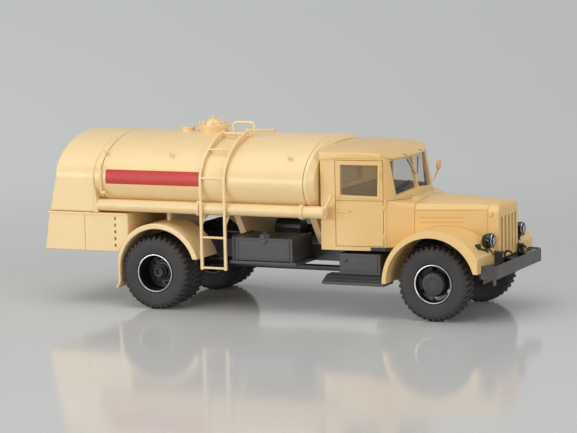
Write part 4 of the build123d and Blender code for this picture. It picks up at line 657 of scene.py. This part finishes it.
def cab_body():
    """The cab's walls with framed windows, door lines and a belt line."""
    shell = boolean(rolled(cab_form(0.0), 0.35, 3, 28), cab_form(1.2))
    windows = pair(rolled(prism(SIDE_WINDOW, "y", -60, -15.2), 0.4, 3))
    rear = rolled(box(19, 25, -11, 11, 44.5, 52.5), 0.6, 3)
    screens = pair(rolled(prism(PANE, "x", 41.0, 60), 0.4, 3))
    pocket = boolean(pair(prism(grown(PANE, 1.0), "x", 40.0, 60)), cab_form(0.5), "INTERSECT")
    for tool in (windows, rear, pocket, screens, fender_space()):
        shell = boolean(shell, tool)
    rims = [on_skin(pair(frame_of(grown(SIDE_WINDOW, 0.8), 0.82, -40, -15)), 0.25, 0.6),
            on_skin(pair(frame_of(grown(PANE, 0.9), 0.92, 43.0, 60, "x")), 0.3, 0.5)]
    # The door and belt lines are thin strips of the groove brown on the skin, painted shade for grooves that
    # are not cut.
    lines = [frame_of(DOOR, 0.2, -40, -15), box(26.9, 44.4, -40, -15, 40.95, 41.1),
             box(45.05, 53.0, -40, -8, 40.95, 41.05)]
    lines = [finished(on_skin(pair(line), 0.03, 0.3), 1) for line in lines]
    return join(cleaned(shell), *[rolled(rim, 0.08, 2, 40) for rim in rims], *lines)


piece("cab_body", cab_body(), (CAB_PAINT, GROOVE_SHADE), ["cab_shell"])


def window_panes():
    """The side, rear and windscreen glass, a little inside the cab's skin."""
    def skin(inset):
        return [cab_ring(z, inset) for z in (42.0, 47.0, 51.5, 55.0)]
    glass = boolean(loft(skin(0.06)), loft([[(x, y, z + dz) for x, y, z in ring]
                                            for ring, dz in zip(skin(0.4), (-1.0, 0.0, 0.0, 1.0))]))
    side_cut = pair(prism(grown(SIDE_WINDOW, -0.02), "y", -60, -17.0))
    screen_cut = pair(prism(grown(PANE, -0.02), "x", 43.6, 60))
    sides, screens = [boolean(glass, cut, "INTERSECT") for cut in (side_cut, screen_cut)]
    # The side panes take the beige-tinted glass, painted light for the lit cab inside.
    return join(finished(sides, 1), screens, box(CAB_REAR_X + 0.4, CAB_REAR_X + 0.8, -11.4, 11.4, 44.1, 52.9))


piece("cab_windows", window_panes(), (GLASS, SIDE_GLASS), ["cab_glass"])
dash = boolean(box(40.9, 46.9, -23.2, 23.2, 36.0, 41.4), cab_form(1.25), "INTERSECT")
piece("dash_panel", dash, CABIN, ["dashboard"])
seat = ((23.2, 24.8), (35.5, 24.8), (35.5, 31.6), (34.6, 32.6), (27.4, 31.8), (26.2, 43.0),
        (25.2, 43.8), (24.2, 43.4))
piece("seat_bench", rolled(prism(seat, "y", -21.0, 21.0), 0.5, 3), CABIN, ["seat"])


ROOF_RINGS = (
    # half width, front at the pane's corner, height at the sides, at the front, and at the rear skirt
    (23.2, 43.0, 55.85, 55.85, 55.85), (24.5, 45.3, 55.7, 54.85, 55.05), (24.75, 45.7, 55.85, 55.0, 55.2),
    (24.8, 45.7, 57.2, 55.5, 57.2), (24.55, 45.1, 57.75, 55.9, 57.75), (23.6, 43.8, 58.1, 56.4, 58.1),
    (21.0, 42.2, 58.6, 57.1, 58.6), (17.0, 40.8, 59.05, 58.0, 59.05), (12.0, 39.0, 59.4, 58.8, 59.4),
    (6.0, 36.0, 59.6, 59.4, 59.6),
)


def roof_ring(half, front, side_z, front_z, skirt_z):
    """Corners round the roof on one of its rings, rounded at the front and drooping there."""
    share = half / 24.8
    rear = 21.1 if share > 0.96 else 21.1 + 0.5 * (1 - share)
    points = [(rear, half, skirt_z), (25.6, half, skirt_z), (26.1, half, side_z)]
    for x in (31.0, 36.0, 40.0, 43.0):
        t = (x - 21.1) / 24.7
        at = rear + t * (front - rear)
        z = side_z - (side_z - front_z) * 0.45 * max(0.0, (x - 36.5) / 9.3)
        points.append((at, half - share * (CAB_HALF - side_half(x, DRIP_Z)), z))
    points.append((front - 1.1 * share, 17.6 * share, side_z - (side_z - front_z) * 0.8))
    points += [(front + ahead * share, half_y * share, front_z)
               for ahead, half_y in ((0.0, 15.0), (1.1, 8.0), (SCREEN_VEE, 0.0))]
    return points + [(x, -y, z) for x, y, z in reversed(points[:-1])]


def roof():
    """The crowned roof with its fascia, rear skirts and the brow over the windscreen."""
    return rolled(loft([roof_ring(*row) for row in ROOF_RINGS]), 0.12, 2, 40)


piece("roof_body", roof(), CAB_PAINT, ["cab_roof"], smooth=50)


# Bonnet and grille

def bonnet():
    """The bonnet with its hinge lines and pressings."""
    def form(inset, bottom):
        return loft([hull_section(53.75, COWL_HALF, 39.7, inset, bottom),
                     hull_section(78.15, BONNET_FRONT_HALF, 39.2, inset, bottom)])
    shell = boolean(rolled(form(0.0, 22.0), 0.3, 3, 25), form(1.3, 21.0))
    core = form(0.28, 20.0)
    lines = [boolean(box(x0, x1, -30, 30, z - w, z + w), core)
             for x0, x1, z, w in ((53, 79, 37.5, 0.15), (55.7, 70.4, 34.9, 0.2), (55.7, 70.4, 33.25, 0.2))]
    for tool in lines:
        shell = boolean(shell, tool)
    fenders = boolean(fender_space(), box(0, 120, -10.3, 10.3, -20, 60))
    return boolean(boolean(shell, fenders), box(40, 90, -11.5, 11.5, 0, 23.5))


piece("bonnet_body", bonnet(), CAB_PAINT, ["bonnet"])
dome = ((0.05, 1.3), (0.45, 1.15), (0.8, 0.75), (1.0, 0.0), (0.9, -0.8), (0.3, -1.0))
mound = revolve(dome, (0, 0, 0), "z", 40)
mound.transform(Matrix.Translation((51.2, -9.0, 40.55)) @ Matrix.Diagonal((2.3, 4.0, 1.0, 1)))
piece("cowl_mounds", pair(mound), CAB_PAINT)


QUARTER_TURN = [pi / 2 * n / 10 for n in range(11)]


def grille():
    """The radiator shell with upright slots and rounded brow."""
    rings = [hull_section(BONNET_FRONT_X, BONNET_FRONT_HALF, 39.2, 0.0, 20.6),
             hull_section(GRILLE_FRONT_X, 9.75, 38.9, 0.0, 20.6)]
    shares = [2 * n / 16 - 1 for n in range(17)]
    plan = [(76, -12)] + [(GRILLE_FRONT_X - 0.35 * t * t, 10.6 * t) for t in shares] + [(76, 12)]
    shell = boolean(loft(rings), prism(plan, "z", 0, 60), "INTERSECT")
    top = 40.1
    curve = [(GRILLE_FRONT_X + 0.1 - 3.0 * (1 - cos(a)), top - 3.4 + 3.5 * sin(a)) for a in QUARTER_TURN]
    brow = [(76, 0), (84, 0), (84, top - 4.0)] + curve + [(76, top + 0.2)]
    shell = rolled(boolean(shell, prism(brow, "y", -30, 30), "INTERSECT"), 0.5, 3, 25)
    shell = boolean(shell, box(77, 81.4, -8.6, 8.6, 21.4, 36.9))
    slots = [rolled(box(79, 84, y - 0.85, y + 0.85, 22.0, 35.0), 0.3, 3) for y in (-7, -3.5, 0, 3.5, 7)]
    rails = pair(box(77, 84, -20, -8.95, 0, 23.35))
    for tool in slots + [rails]:
        shell = boolean(shell, tool)
    latch = rolled(box(78.6, 79.9, -10.55, 10.55, 35.4, 37.2), 0.3, 3)
    knob = ((1.0, 0.0), (0.95, 0.25), (0.6, 0.45), (0.1, 0.5))
    knob = pair(revolve(knob, (GRILLE_FRONT_X - 0.25, -7.0, 36.4), "x", 24))
    # The plate behind the slots is in the slot brown, as painted shade at the slots' bottoms.
    return join(shell, latch, knob, box(81.1, 81.35, -8.55, 8.55, 21.5, 36.8, 1))


piece("grille_body", grille(), (CAB_PAINT, SLOT_SHADE), ["grille_shell"])


# Lamps, hooks and bumper

LAMP_REAR_X, LAMP_FRONT_X = 78.0, 82.1


def headlamp():
    """The right headlamp: bowl, bright reflector ring and bracket."""
    centre = (LAMP_REAR_X, -LAMP_Y, LAMP_Z)
    bowl = revolve(((0.4, 0.0), (1.2, 0.15), (1.95, 0.7), (2.4, 1.6), (2.58, 2.7), (2.6, 3.8), (2.5, 4.05),
                    (2.3, 4.0), (2.2, 3.2), (0.5, 2.6)), centre, "x", 48)
    ring = ((2.26, 3.9), (2.54, 3.9), (2.5, 4.14), (2.26, 4.18))
    ring = revolve(ring, centre, "x", 48, closed=True, finish=1)
    mirror = ((2.2, 3.8), (1.7, 3.2), (1.0, 2.8), (0.3, 2.7), (0.3, 2.5), (2.25, 3.0))
    mirror = revolve(mirror, centre, "x", 40, finish=1)
    foot = fillet([(80.0, -LAMP_Y, 26.4), (80.0, -LAMP_Y - 0.5, 24.4), (79.9, -LAMP_Y - 1.6, 22.9)], 0.8)
    foot = pipe(foot, 0.65, 10)
    arm = pipe([(80.0, -LAMP_Y - 0.6, 23.9), (78.9, -21.2, 25.6)], 0.5, 10)
    lead = pipe(fillet([(79.2, -LAMP_Y + 0.6, 25.4), (80.4, -14.2, 24.6), (81.2, -12.9, 22.4)], 1.2), 0.22, 8)
    return join(bowl, ring, mirror, foot, arm, lead)


lens = ((2.3, 0.0), (2.3, 0.15), (1.9, 0.35), (1.1, 0.5), (0.3, 0.55))
lens = revolve(lens, (LAMP_FRONT_X, -LAMP_Y, LAMP_Z), "x", 48)
piece("headlamp_pair", pair(headlamp()), (GLOSS_BLACK, CHROME), ["headlamp_bowls"])
piece("headlamp_glass", pair(lens), LENS, ["headlamp_lenses"])
small = ((0.4, 0.0), (0.8, 0.2), (1.05, 0.8), (1.1, 1.7), (0.9, 2.0), (0.3, 2.2))
small = revolve(small, (77.5, -21.6, 26.2), "x", 24)
small = join(small, pipe([(78.3, -21.6, 25.6), (78.6, -21.2, 23.2)], 0.85, 12))
piece("side_lamp_pair", pair(small), GLOSS_BLACK, ["side_lamps"])


BUMPER_X, BUMPER_HALF, BUMPER_TIP, BUMPER_SWEEP_X, BUMPER_DEPTH = 86.1, 22.9, 24.6, 80.9, 3.3


def bumper_plan(inset):
    """The bumper's outline from above, with both ends swept back."""
    run, back = BUMPER_TIP - BUMPER_HALF, BUMPER_X - BUMPER_SWEEP_X
    outer = [(BUMPER_X - inset - (back - inset) * (1 - cos(a)), -BUMPER_HALF - (run - inset) * sin(a))
             for a in reversed(QUARTER_TURN)]
    inner = [(BUMPER_SWEEP_X - 1.3 + inset, -BUMPER_TIP + 1.2 + inset),
             (BUMPER_X - BUMPER_DEPTH + inset, -BUMPER_HALF + 1.8)]
    return outer + [(x, -y) for x, y in reversed(outer)] + [(x, -y) for x, y in inner] + inner[::-1]


def bumper():
    """The bumper bar with its sunk top and the small tab under its right end."""
    bar = rolled(prism(bumper_plan(0.0), "z", 15.4, 20.1), 0.25, 3, 30)
    bar = boolean(bar, prism(bumper_plan(0.5), "z", 19.75, 21))
    top = prism(bumper_plan(0.45), "z", 19.5, 19.8, 1)
    tab = rolled(box(84.6, 85.3, -23.2, -21.6, 13.3, 15.6), 0.12, 2)
    return join(bar, top, tab)


piece("bumper_bar", bumper(), (BUMPER_PLASTIC, GLOSS_BLACK), ["front_bumper"])
HOOK_X, HOOK_Y = 84.6, 7.2
hook = pipe([(x, -HOOK_Y, z) for x, z in arc(HOOK_X, 21.75, 1.4, 20, 310, 28)], 0.36, 10)
hook = join(hook, rolled(box(HOOK_X - 1.6, HOOK_X + 1.2, -HOOK_Y - 0.9, -HOOK_Y + 0.9, 19.8, 20.6), 0.15, 2))
piece("hook_pair", pair(hook), GLOSS_BLACK, ["tow_hooks"])


# Hose tubes, ladder and what stands on the tank

tube = ((0.5, TANK_REAR_X + 0.1), (2.0, TANK_REAR_X + 0.1), (TUBE_R, TANK_REAR_X + 0.4),
        (TUBE_R, TUBE_FRONT_X), (0.5, TUBE_FRONT_X))
tube = revolve(tube, (0, -TUBE_Y, TUBE_Z), "x", 48)
cap = ((0.5, 0.05), (2.25, 0.05), (2.4, 0.25), (2.4, 0.9), (2.2, 1.05), (0.5, 1.05))
cap = revolve(cap, (TUBE_FRONT_X, -TUBE_Y, TUBE_Z), "x", 40)
lever = pipe([(24.1, -28.2, 37.4), (27.2, -28.2, 43.2)], 0.58, 12)


def clamp(x):
    """A clamp ring with its tab."""
    ring = ((2.25, -0.75), (2.6, -0.75), (2.7, -0.6), (2.7, 0.6), (2.6, 0.75), (2.25, 0.75))
    ring = revolve(ring, (x, -TUBE_Y, TUBE_Z), "x", 40, closed=True)
    tab = rolled(box(x - 0.7, x + 0.7, -TUBE_Y + 1.5, -TUBE_Y + 4.6, TUBE_Z - 0.3, TUBE_Z + 0.6), 0.1, 2)
    return join(ring, tab)


def over_shoulder(grow_a, grow_b, top_y, steps=24):
    """A path that follows the tank from its widest line up to near its top."""
    a, b = TANK_A + grow_a, TANK_B + grow_b
    top = acos(top_y / a)
    return [(-a * cos(top * n / steps), TANK_Z + b * sin(top * n / steps)) for n in range(steps + 1)]


def ladder():
    """The ladder with square rails, rungs, straps and braces."""
    shells = []
    for x in (-22.5, -13.2):
        outer = [(-31.05, 15.3)] + over_shoulder(1.15, 2.5, 10.0)
        inner = [(-30.05, 15.3)] + over_shoulder(0.15, 1.5, 10.0)
        shells.append(rolled(prism(outer + inner[::-1], "x", x - 0.5, x + 0.5), 0.16, 2, 40))
        strap = over_shoulder(0.65, 0.65, 10.0) + over_shoulder(0.15, 0.15, 10.0)[::-1]
        shells.append(prism(strap, "x", x - 0.5, x + 0.5))
        for y in (24.5, 10.6):
            skin = tank_height(y)
            shells.append(box(x - 0.4, x + 0.4, -y - 0.4, -y + 0.4, skin + 0.3, skin + 2.0))
        shells.append(pipe([(x, -30.4, 31.0), (x, -27.2, 34.5)], 0.4, 8))
    for y, z in [(-30.55, z) for z in (16.0, 26.9, 48.0)] + [(-23.9, 57.6), (-12.4, 62.3)]:
        shells.append(pipe([(-22.5, y, z), (-13.2, y, z)], 0.42, 12))
    return join(*shells)


def above_tank(profile, x, sides):
    """A turned neck on the tank's top, cut off where it meets the skin."""
    tank = loft([ellipse_ring(end, -0.1) for end in (-50, -20)])
    return boolean(revolve(profile, (x, 0, 0), "z", sides), tank)


def lid():
    """The stepped lid with wing nuts round it and a knob."""
    profile = ((5.85, 63.65), (5.85, 64.1), (5.6, 64.25), (4.3, 64.3), (4.2, 65.1), (3.9, 65.35),
               (2.4, 65.45), (2.2, 66.1), (1.2, 66.3), (0.7, 66.5), (0.6, 66.8), (1.0, 67.0),
               (1.0, 67.3), (0.6, 67.5))
    shells = [revolve(profile, (MANHOLE_X, 0, 0), "z", 56)]
    for n in range(8):
        a = 2 * pi * (n + 0.5) / 8
        x, y = MANHOLE_X + 5.1 * cos(a), 5.1 * sin(a)
        shells.append(pipe([(x, y, 64.2), (x, y, 65.3)], 0.3, 8))
        dx, dy = 0.7 * sin(a), -0.7 * cos(a)
        shells.append(pipe([(x - dx, y - dy, 65.35), (x, y, 64.95), (x + dx, y + dy, 65.35)], 0.22, 8))
    return join(*shells)


NECK = ((5.2, 59.5), (5.2, 62.9), (5.9, 63.1), (5.9, 63.6), (0.5, 63.6))
STUB = ((2.4, 60.2), (2.4, 62.5), (2.55, 62.6), (2.55, 62.95), (2.3, 63.1), (0.4, 63.1))
HOOP = ((-19.2, -9.0, 60.5), (-19.2, -9.0, 66.1), (-11.0, -9.0, 66.1), (-11.0, -9.0, 60.5))
LUG_Y, LUG_Z, LUG_XS = 25.6, 55.2, (-62.2, -35.8, 10.6)


def tank_lug(x):
    """A forked lifting tab on its foot plate."""
    foot = rolled(box(x - 1.3, x + 1.3, -LUG_Y - 0.3, -LUG_Y + 2.2, LUG_Z - 1.6, LUG_Z - 1.0), 0.15, 2)
    prongs = [pipe([(x + dx * 0.6, -LUG_Y + 0.8, LUG_Z - 1.4), (x + dx, -LUG_Y - 0.7, LUG_Z + 1.2)], 0.28, 8)
              for dx in (-0.6, 0.6)]
    return join(foot, *prongs)


valve = join(
    pipe([(-19.8, 2.0, 62.35), (-8.4, 2.0, 62.35)], 0.3, 10),
    pipe([(-18.6, 2.0, 61.2), (-18.6, 2.0, 63.0)], 0.5, 12),
    pipe([(-10.6, 2.0, 61.5), (-10.6, 2.0, 63.1)], 0.42, 12),
    revolve(((0.1, 0.0), (0.6, 0.05), (0.6, 0.7), (0.1, 0.75)), (-8.9, 2.0, 62.35), "x", 20))
cock = join(
    pipe([(-62.7, -30.15, 52.0), (-62.75, -30.4, 46.5), (-62.7, -29.9, 41.2)], 0.3, 10),
    revolve(((0.1, -0.8), (0.6, -0.75), (0.6, 0.75), (0.1, 0.8)), (-62.0, -29.8, 41.6), "x", 20),
    prism(((-65.9, 46.5), (-64.6, 34.4), (-66.0, 34.4)), "y", -29.95, -27.0))
FITTINGS = (
    # piece, mesh, CAD nodes that it stands for
    ("hose_tube_pair", pair(tube), ["hose_tubes"]),
    ("clamp_set", pair(join(clamp(-24.6), clamp(15.7))), ["tube_clamps"]),
    ("tube_cap_pair", pair(join(cap, lever)), ["tube_caps"]),
    ("ladder_body", ladder(), ["ladder"]),
    ("hoop_rail", pipe(fillet(HOOP, 1.6), 0.5, 14), ["handrail"]),
    ("manhole_ring", above_tank(NECK, MANHOLE_X, 56), ["manhole_neck"]),
    ("manhole_cover", lid(), ["manhole_lid"]),
    ("filler_pipe", above_tank(STUB, FILLER_X, 36), ["filler_stub"]),
    ("lug_set", pair(join(*[tank_lug(x) for x in LUG_XS])), ["tank_lugs"]),
    ("valve_rod", valve, []),
    ("gauge_pipe", cock, []),
)
for name, mesh, nodes in FITTINGS:
    piece(name, mesh, TANK_PAINT, nodes)


# Mirror, wipers, handles and hinges

arm = pipe(fillet([(43.6, 22.2, 42.0), (44.5, 26.0, 43.6), (45.5, 27.7, 47.4)], 0.8), 0.33, 8)
head = ((0.3, -0.45), (1.5, -0.4), (1.85, -0.2), (1.9, 0.1), (1.75, 0.4), (0.3, 0.45))
head = revolve(head, (45.5, 27.7, 48.4), "x", 32)
piece("mirror_body", join(arm, head), CAB_PAINT, ["mirror"])
handle = pipe(fillet([(28.1, -24.5, 37.4), (28.1, -25.5, 37.4), (32.5, -25.4, 37.3)], 0.4), 0.34, 8)
piece("handle_pair", pair(handle), CAB_PAINT, ["door_handles"])
pin = ((0.3, -0.9), (0.4, -0.8), (0.4, 0.8), (0.3, 0.9))
hinges = [revolve(pin, (x, -side_half(x, z) - 0.15, z), "z", 16)
          for x, z in ((44.55, 28.5), (44.4, 38.5), (43.3, 51.5))]
piece("hinge_set", pair(join(*hinges)), CAB_PAINT, ["door_hinges"])


def on_screen(y, z, off):
    """A place on the windscreen's face, or a little off it."""
    x = SCREEN_X - SCREEN_RAKE * (z - SCREEN_Z) + SCREEN_VEE * (1 - abs(y) / SCREEN_HALF)
    return (x + off, y, z)


hub = on_screen(-7.6, 56.3, 1.2)
blade_ends = on_screen(-5.2, 53.9, 0.45), on_screen(-1.0, 48.3, 0.45)
wiper = join(
    revolve(((0.1, -0.9), (0.5, -0.8), (0.55, 0.2), (0.35, 0.5), (0.1, 0.55)), hub, "x", 20),
    pipe([on_screen(-7.6, 56.3, 1.7), on_screen(-6.6, 55.0, 1.5), on_screen(-3.3, 51.3, 0.75)], 0.2, 8),
    pipe([(x + 0.15, y, z) for x, y, z in blade_ends], 0.17, 8),
    pipe(blade_ends, 0.2, 8, finish=1))
piece("wiper_pair", pair(wiper), (WIPER_GREY, GLOSS_BLACK), ["wipers"])


# Boxes beside the frame

FUEL_X0, FUEL_X1 = -12.0, 12.0


def fuel_box():
    """The fuel box in its tray, with end flanges, a framed face and a cap."""
    x0, x1 = FUEL_X0, FUEL_X1
    face = box(x0 + 2.2, x1 - 1.4, -28.2, -27.5, 19.3, 26.6)
    sunk = box(x0 + 2.7, x1 - 1.9, -29, -27, 19.8, 26.1)
    filler = ((2.3, 26.9), (2.3, 27.9), (2.1, 28.3), (1.2, 28.4), (1.0, 28.9), (0.2, 29.0))
    shells = [
        rolled(box(x0, x1, -28.0, -11.45, 18.8, 27.1), 0.3, 3),
        rolled(box(x0 - 0.6, x1 + 1.4, -28.8, -11.45, 17.6, 18.8), 0.2, 2),
        rolled(boolean(face, sunk), 0.1, 2),
        revolve(filler, (0.2, -25.6, 0), "z", 36),
        rolled(prism(arc(0.3, 26.6, 1.7, 180, 360, 16), "y", -28.55, -27.6), 0.15, 2),
    ]
    for x in (x0 + 0.9, x1 - 0.5):
        shells.append(rolled(box(x - 0.45, x + 0.45, -28.4, -11.45, 18.7, 27.45), 0.15, 2))
    return join(*shells)


def step_box():
    """The locker under the door with its running board."""
    body = rolled(box(27.8, 43.5, -24.0, -11.45, 14.9, 22.4), 0.3, 3)
    panel = rolled(box(28.9, 42.4, -24.25, -23.5, 16.2, 21.5), 0.12, 2)
    knob = revolve(((0.5, 0.0), (0.5, -0.5), (0.3, -0.6)), (30.5, -24.2, 19.8), "y", 16)
    section = ((-28.8, 12.8), (-24.4, 14.9), (-20, 14.9), (-20, 11.9), (-28.8, 11.9))
    board = rolled(prism(section, "x", 23.1, 46.6), 0.2, 2)
    ribs = []
    for y in (-26.0, -27.6):
        z = 14.9 - 2.1 * (-24.4 - y) / 4.4 + 0.1
        ribs.append(pipe([(23.6, y, z), (44.4, y, z)], 0.25, 8))
    return join(body, panel, knob, board, *ribs)


piece("fuel_box_pair", pair(fuel_box()), PLASTIC, ["fuel_boxes"])
piece("step_box_pair", pair(step_box()), PLASTIC, ["step_boxes"])


# CAD nodes that keep their own shape

KEPT = (
    # finish, CAD nodes
    (PLASTIC, ("chassis_frame", "front_axle", "rear_axle", "front_springs", "rear_springs",
               "propshaft", "powertrain", "air_reservoir")),
    (GLOSS_BLACK, ("radiator_core",)),
    (CABIN, ("cab_floor", "steering_wheel")),
    (TANK_PAINT, ("tank_cradles",)),
)
for finish, nodes in KEPT:
    for node in nodes:
        worn = CAD_NODES[node].data.materials
        worn.clear()
        worn.append(finish)


# Floor, lamps and camera

CAMERA_PLACE = (384.613, -842.756, 151.788)
CAMERA_YAW, CAMERA_PITCH, CAMERA_ROLL = 0.4304655, 0.1293390, -0.0207144
CAMERA_LENS = 160.79
FLOOR_YAW, FLOOR_NEAR, FLOOR_FAR, FLOOR_HALF = 0.43, 900, -500, 2200
BACKDROP_R, BACKDROP_TOP = 700, 2600


def floor_finish():
    """A pale glossy floor that turns into a glowing backdrop behind the truck, with painted light falloff:
    lighter on the left, darker on the right, and an even mid grey higher up.
    """
    finish = material("floor_gloss", (206, 206, 205), (205, 205, 204), 0.1, bump=0.0, patch=2.0, IOR=1.25)
    nodes, links = finish.node_tree.nodes, finish.node_tree.links
    place = nodes.new("ShaderNodeTexCoord")

    def along(direction, low, high):
        dot = nodes.new("ShaderNodeVectorMath")
        dot.operation = "DOT_PRODUCT"
        dot.inputs[1].default_value = direction
        links.new(place.outputs["Object"], dot.inputs[0])
        fade = nodes.new("ShaderNodeMapRange")
        fade.interpolation_type = "SMOOTHSTEP"
        fade.inputs["From Min"].default_value, fade.inputs["From Max"].default_value = low, high
        links.new(dot.outputs["Value"], fade.inputs["Value"])
        return fade.outputs["Result"]

    def math(operation, first, second):
        node = nodes.new("ShaderNodeMath")
        node.operation = operation
        links.new(first, node.inputs[0])
        links.new(second, node.inputs[1])
        return node.outputs[0]

    back = along((-sin(CAMERA_YAW), cos(CAMERA_YAW), 0), 0.06, 0.42)
    across = along((cos(CAMERA_YAW), sin(CAMERA_YAW), 0), -0.35, 0.35)
    high = along((0, 0, 1), -0.1, 0.25)
    # Painted light falloff in the backdrop's glow: lighter on the left, darker on the right, evening out to a
    # mid grey higher up.
    shade = nodes.new("ShaderNodeValToRGB")
    shade.color_ramp.elements[0].color = tone(201, 202, 202)
    shade.color_ramp.elements[1].color = tone(184, 185, 183)
    links.new(across, shade.inputs["Fac"])
    dim = nodes.new("ShaderNodeMixRGB")
    dim.inputs["Color2"].default_value = tone(183, 186, 185)
    links.new(high, dim.inputs["Fac"])
    links.new(shade.outputs["Color"], dim.inputs["Color1"])
    glow = nodes.new("ShaderNodeEmission")
    links.new(dim.outputs["Color"], glow.inputs["Color"])
    rays = nodes.new("ShaderNodeLightPath")
    seen = math("MAXIMUM", rays.outputs["Is Camera Ray"], rays.outputs["Is Glossy Ray"])
    seen = math("MAXIMUM", seen, rays.outputs["Is Transmission Ray"])
    blend = nodes.new("ShaderNodeMixShader")
    links.new(math("MULTIPLY", seen, back), blend.inputs["Fac"])
    links.new(nodes["Principled BSDF"].outputs["BSDF"], blend.inputs[1])
    links.new(glow.outputs["Emission"], blend.inputs[2])
    links.new(blend.outputs["Shader"], nodes["Material Output"].inputs["Surface"])
    return finish


def stage_floor():
    """A pale glossy floor that runs up into the backdrop."""
    near, across = Vector((sin(FLOOR_YAW), -cos(FLOOR_YAW), 0)), Vector((cos(FLOOR_YAW), sin(FLOOR_YAW), 0))
    path = [(FLOOR_NEAR, 0.0), (FLOOR_FAR, 0.0)]
    for a in [pi / 2 * n / 16 for n in range(1, 17)]:
        path.append((FLOOR_FAR - BACKDROP_R * sin(a), BACKDROP_R * (1 - cos(a))))
    path.append((FLOOR_FAR - BACKDROP_R, BACKDROP_TOP))
    bm = bmesh.new()
    edges = (-FLOOR_HALF, FLOOR_HALF)
    rows = [[bm.verts.new((near * d + across * w + Vector((0, 0, z))) * MM) for w in edges] for d, z in path]
    for a, b in zip(rows, rows[1:]):
        bm.faces.new((a[0], a[1], b[1], b[0])).smooth = True
    bmesh.ops.recalc_face_normals(bm, faces=bm.faces)
    mesh = to_mesh(bm, "floor")
    mesh.materials.append(floor_finish())
    floor = bpy.data.objects.new("floor", mesh)
    SCENE.collection.objects.link(floor)


stage_floor()


def area_lamp(name, place, target, size, power):
    """A soft lamp, as wide and high as its size says, that faces a place."""
    data = bpy.data.lights.new(name, "AREA")
    data.shape = "RECTANGLE"
    data.size, data.size_y = [s * MM for s in size]
    data.energy = power
    lamp = bpy.data.objects.new(name, data)
    lamp.location = Vector(place) * MM
    lamp.visible_camera = False
    lamp.rotation_euler = (Vector(target) - Vector(place)).to_track_quat("-Z", "Y").to_euler()
    SCENE.collection.objects.link(lamp)


area_lamp("top_lamp", (-60, -150, 620), (0, 0, 30), (700, 700), 1.95)
area_lamp("left_lamp", (-420, -700, 160), (-20, 0, 25), (640, 240), 2.35)
area_lamp("right_lamp", (620, -300, 260), (0, 0, 35), (420, 420), 1.25)
world = bpy.data.worlds.new("studio")
world.use_nodes = True
background = world.node_tree.nodes["Background"]
background.inputs["Color"].default_value = (0.62, 0.62, 0.62, 1)
background.inputs["Strength"].default_value = 0.7
SCENE.world = world
SCENE.view_settings.view_transform = "Standard"


def photo_camera():
    """The camera where the photograph was taken from."""
    yaw, pitch, roll = CAMERA_YAW, CAMERA_PITCH, CAMERA_ROLL
    ahead = Vector((-sin(yaw) * cos(pitch), cos(yaw) * cos(pitch), -sin(pitch)))
    right = Vector((cos(yaw), sin(yaw), 0))
    up = right.cross(ahead)
    right, up = right * cos(roll) + up * sin(roll), up * cos(roll) - right * sin(roll)
    data = bpy.data.cameras.new("camera")
    data.lens, data.sensor_width = CAMERA_LENS, 36.0
    data.clip_start, data.clip_end = 0.01, 20.0
    camera = bpy.data.objects.new("camera", data)
    turned = Matrix((right, up, -ahead)).transposed().to_4x4()
    camera.matrix_world = Matrix.Translation(Vector(CAMERA_PLACE) * MM) @ turned
    SCENE.collection.objects.link(camera)
    SCENE.camera = camera


photo_camera()
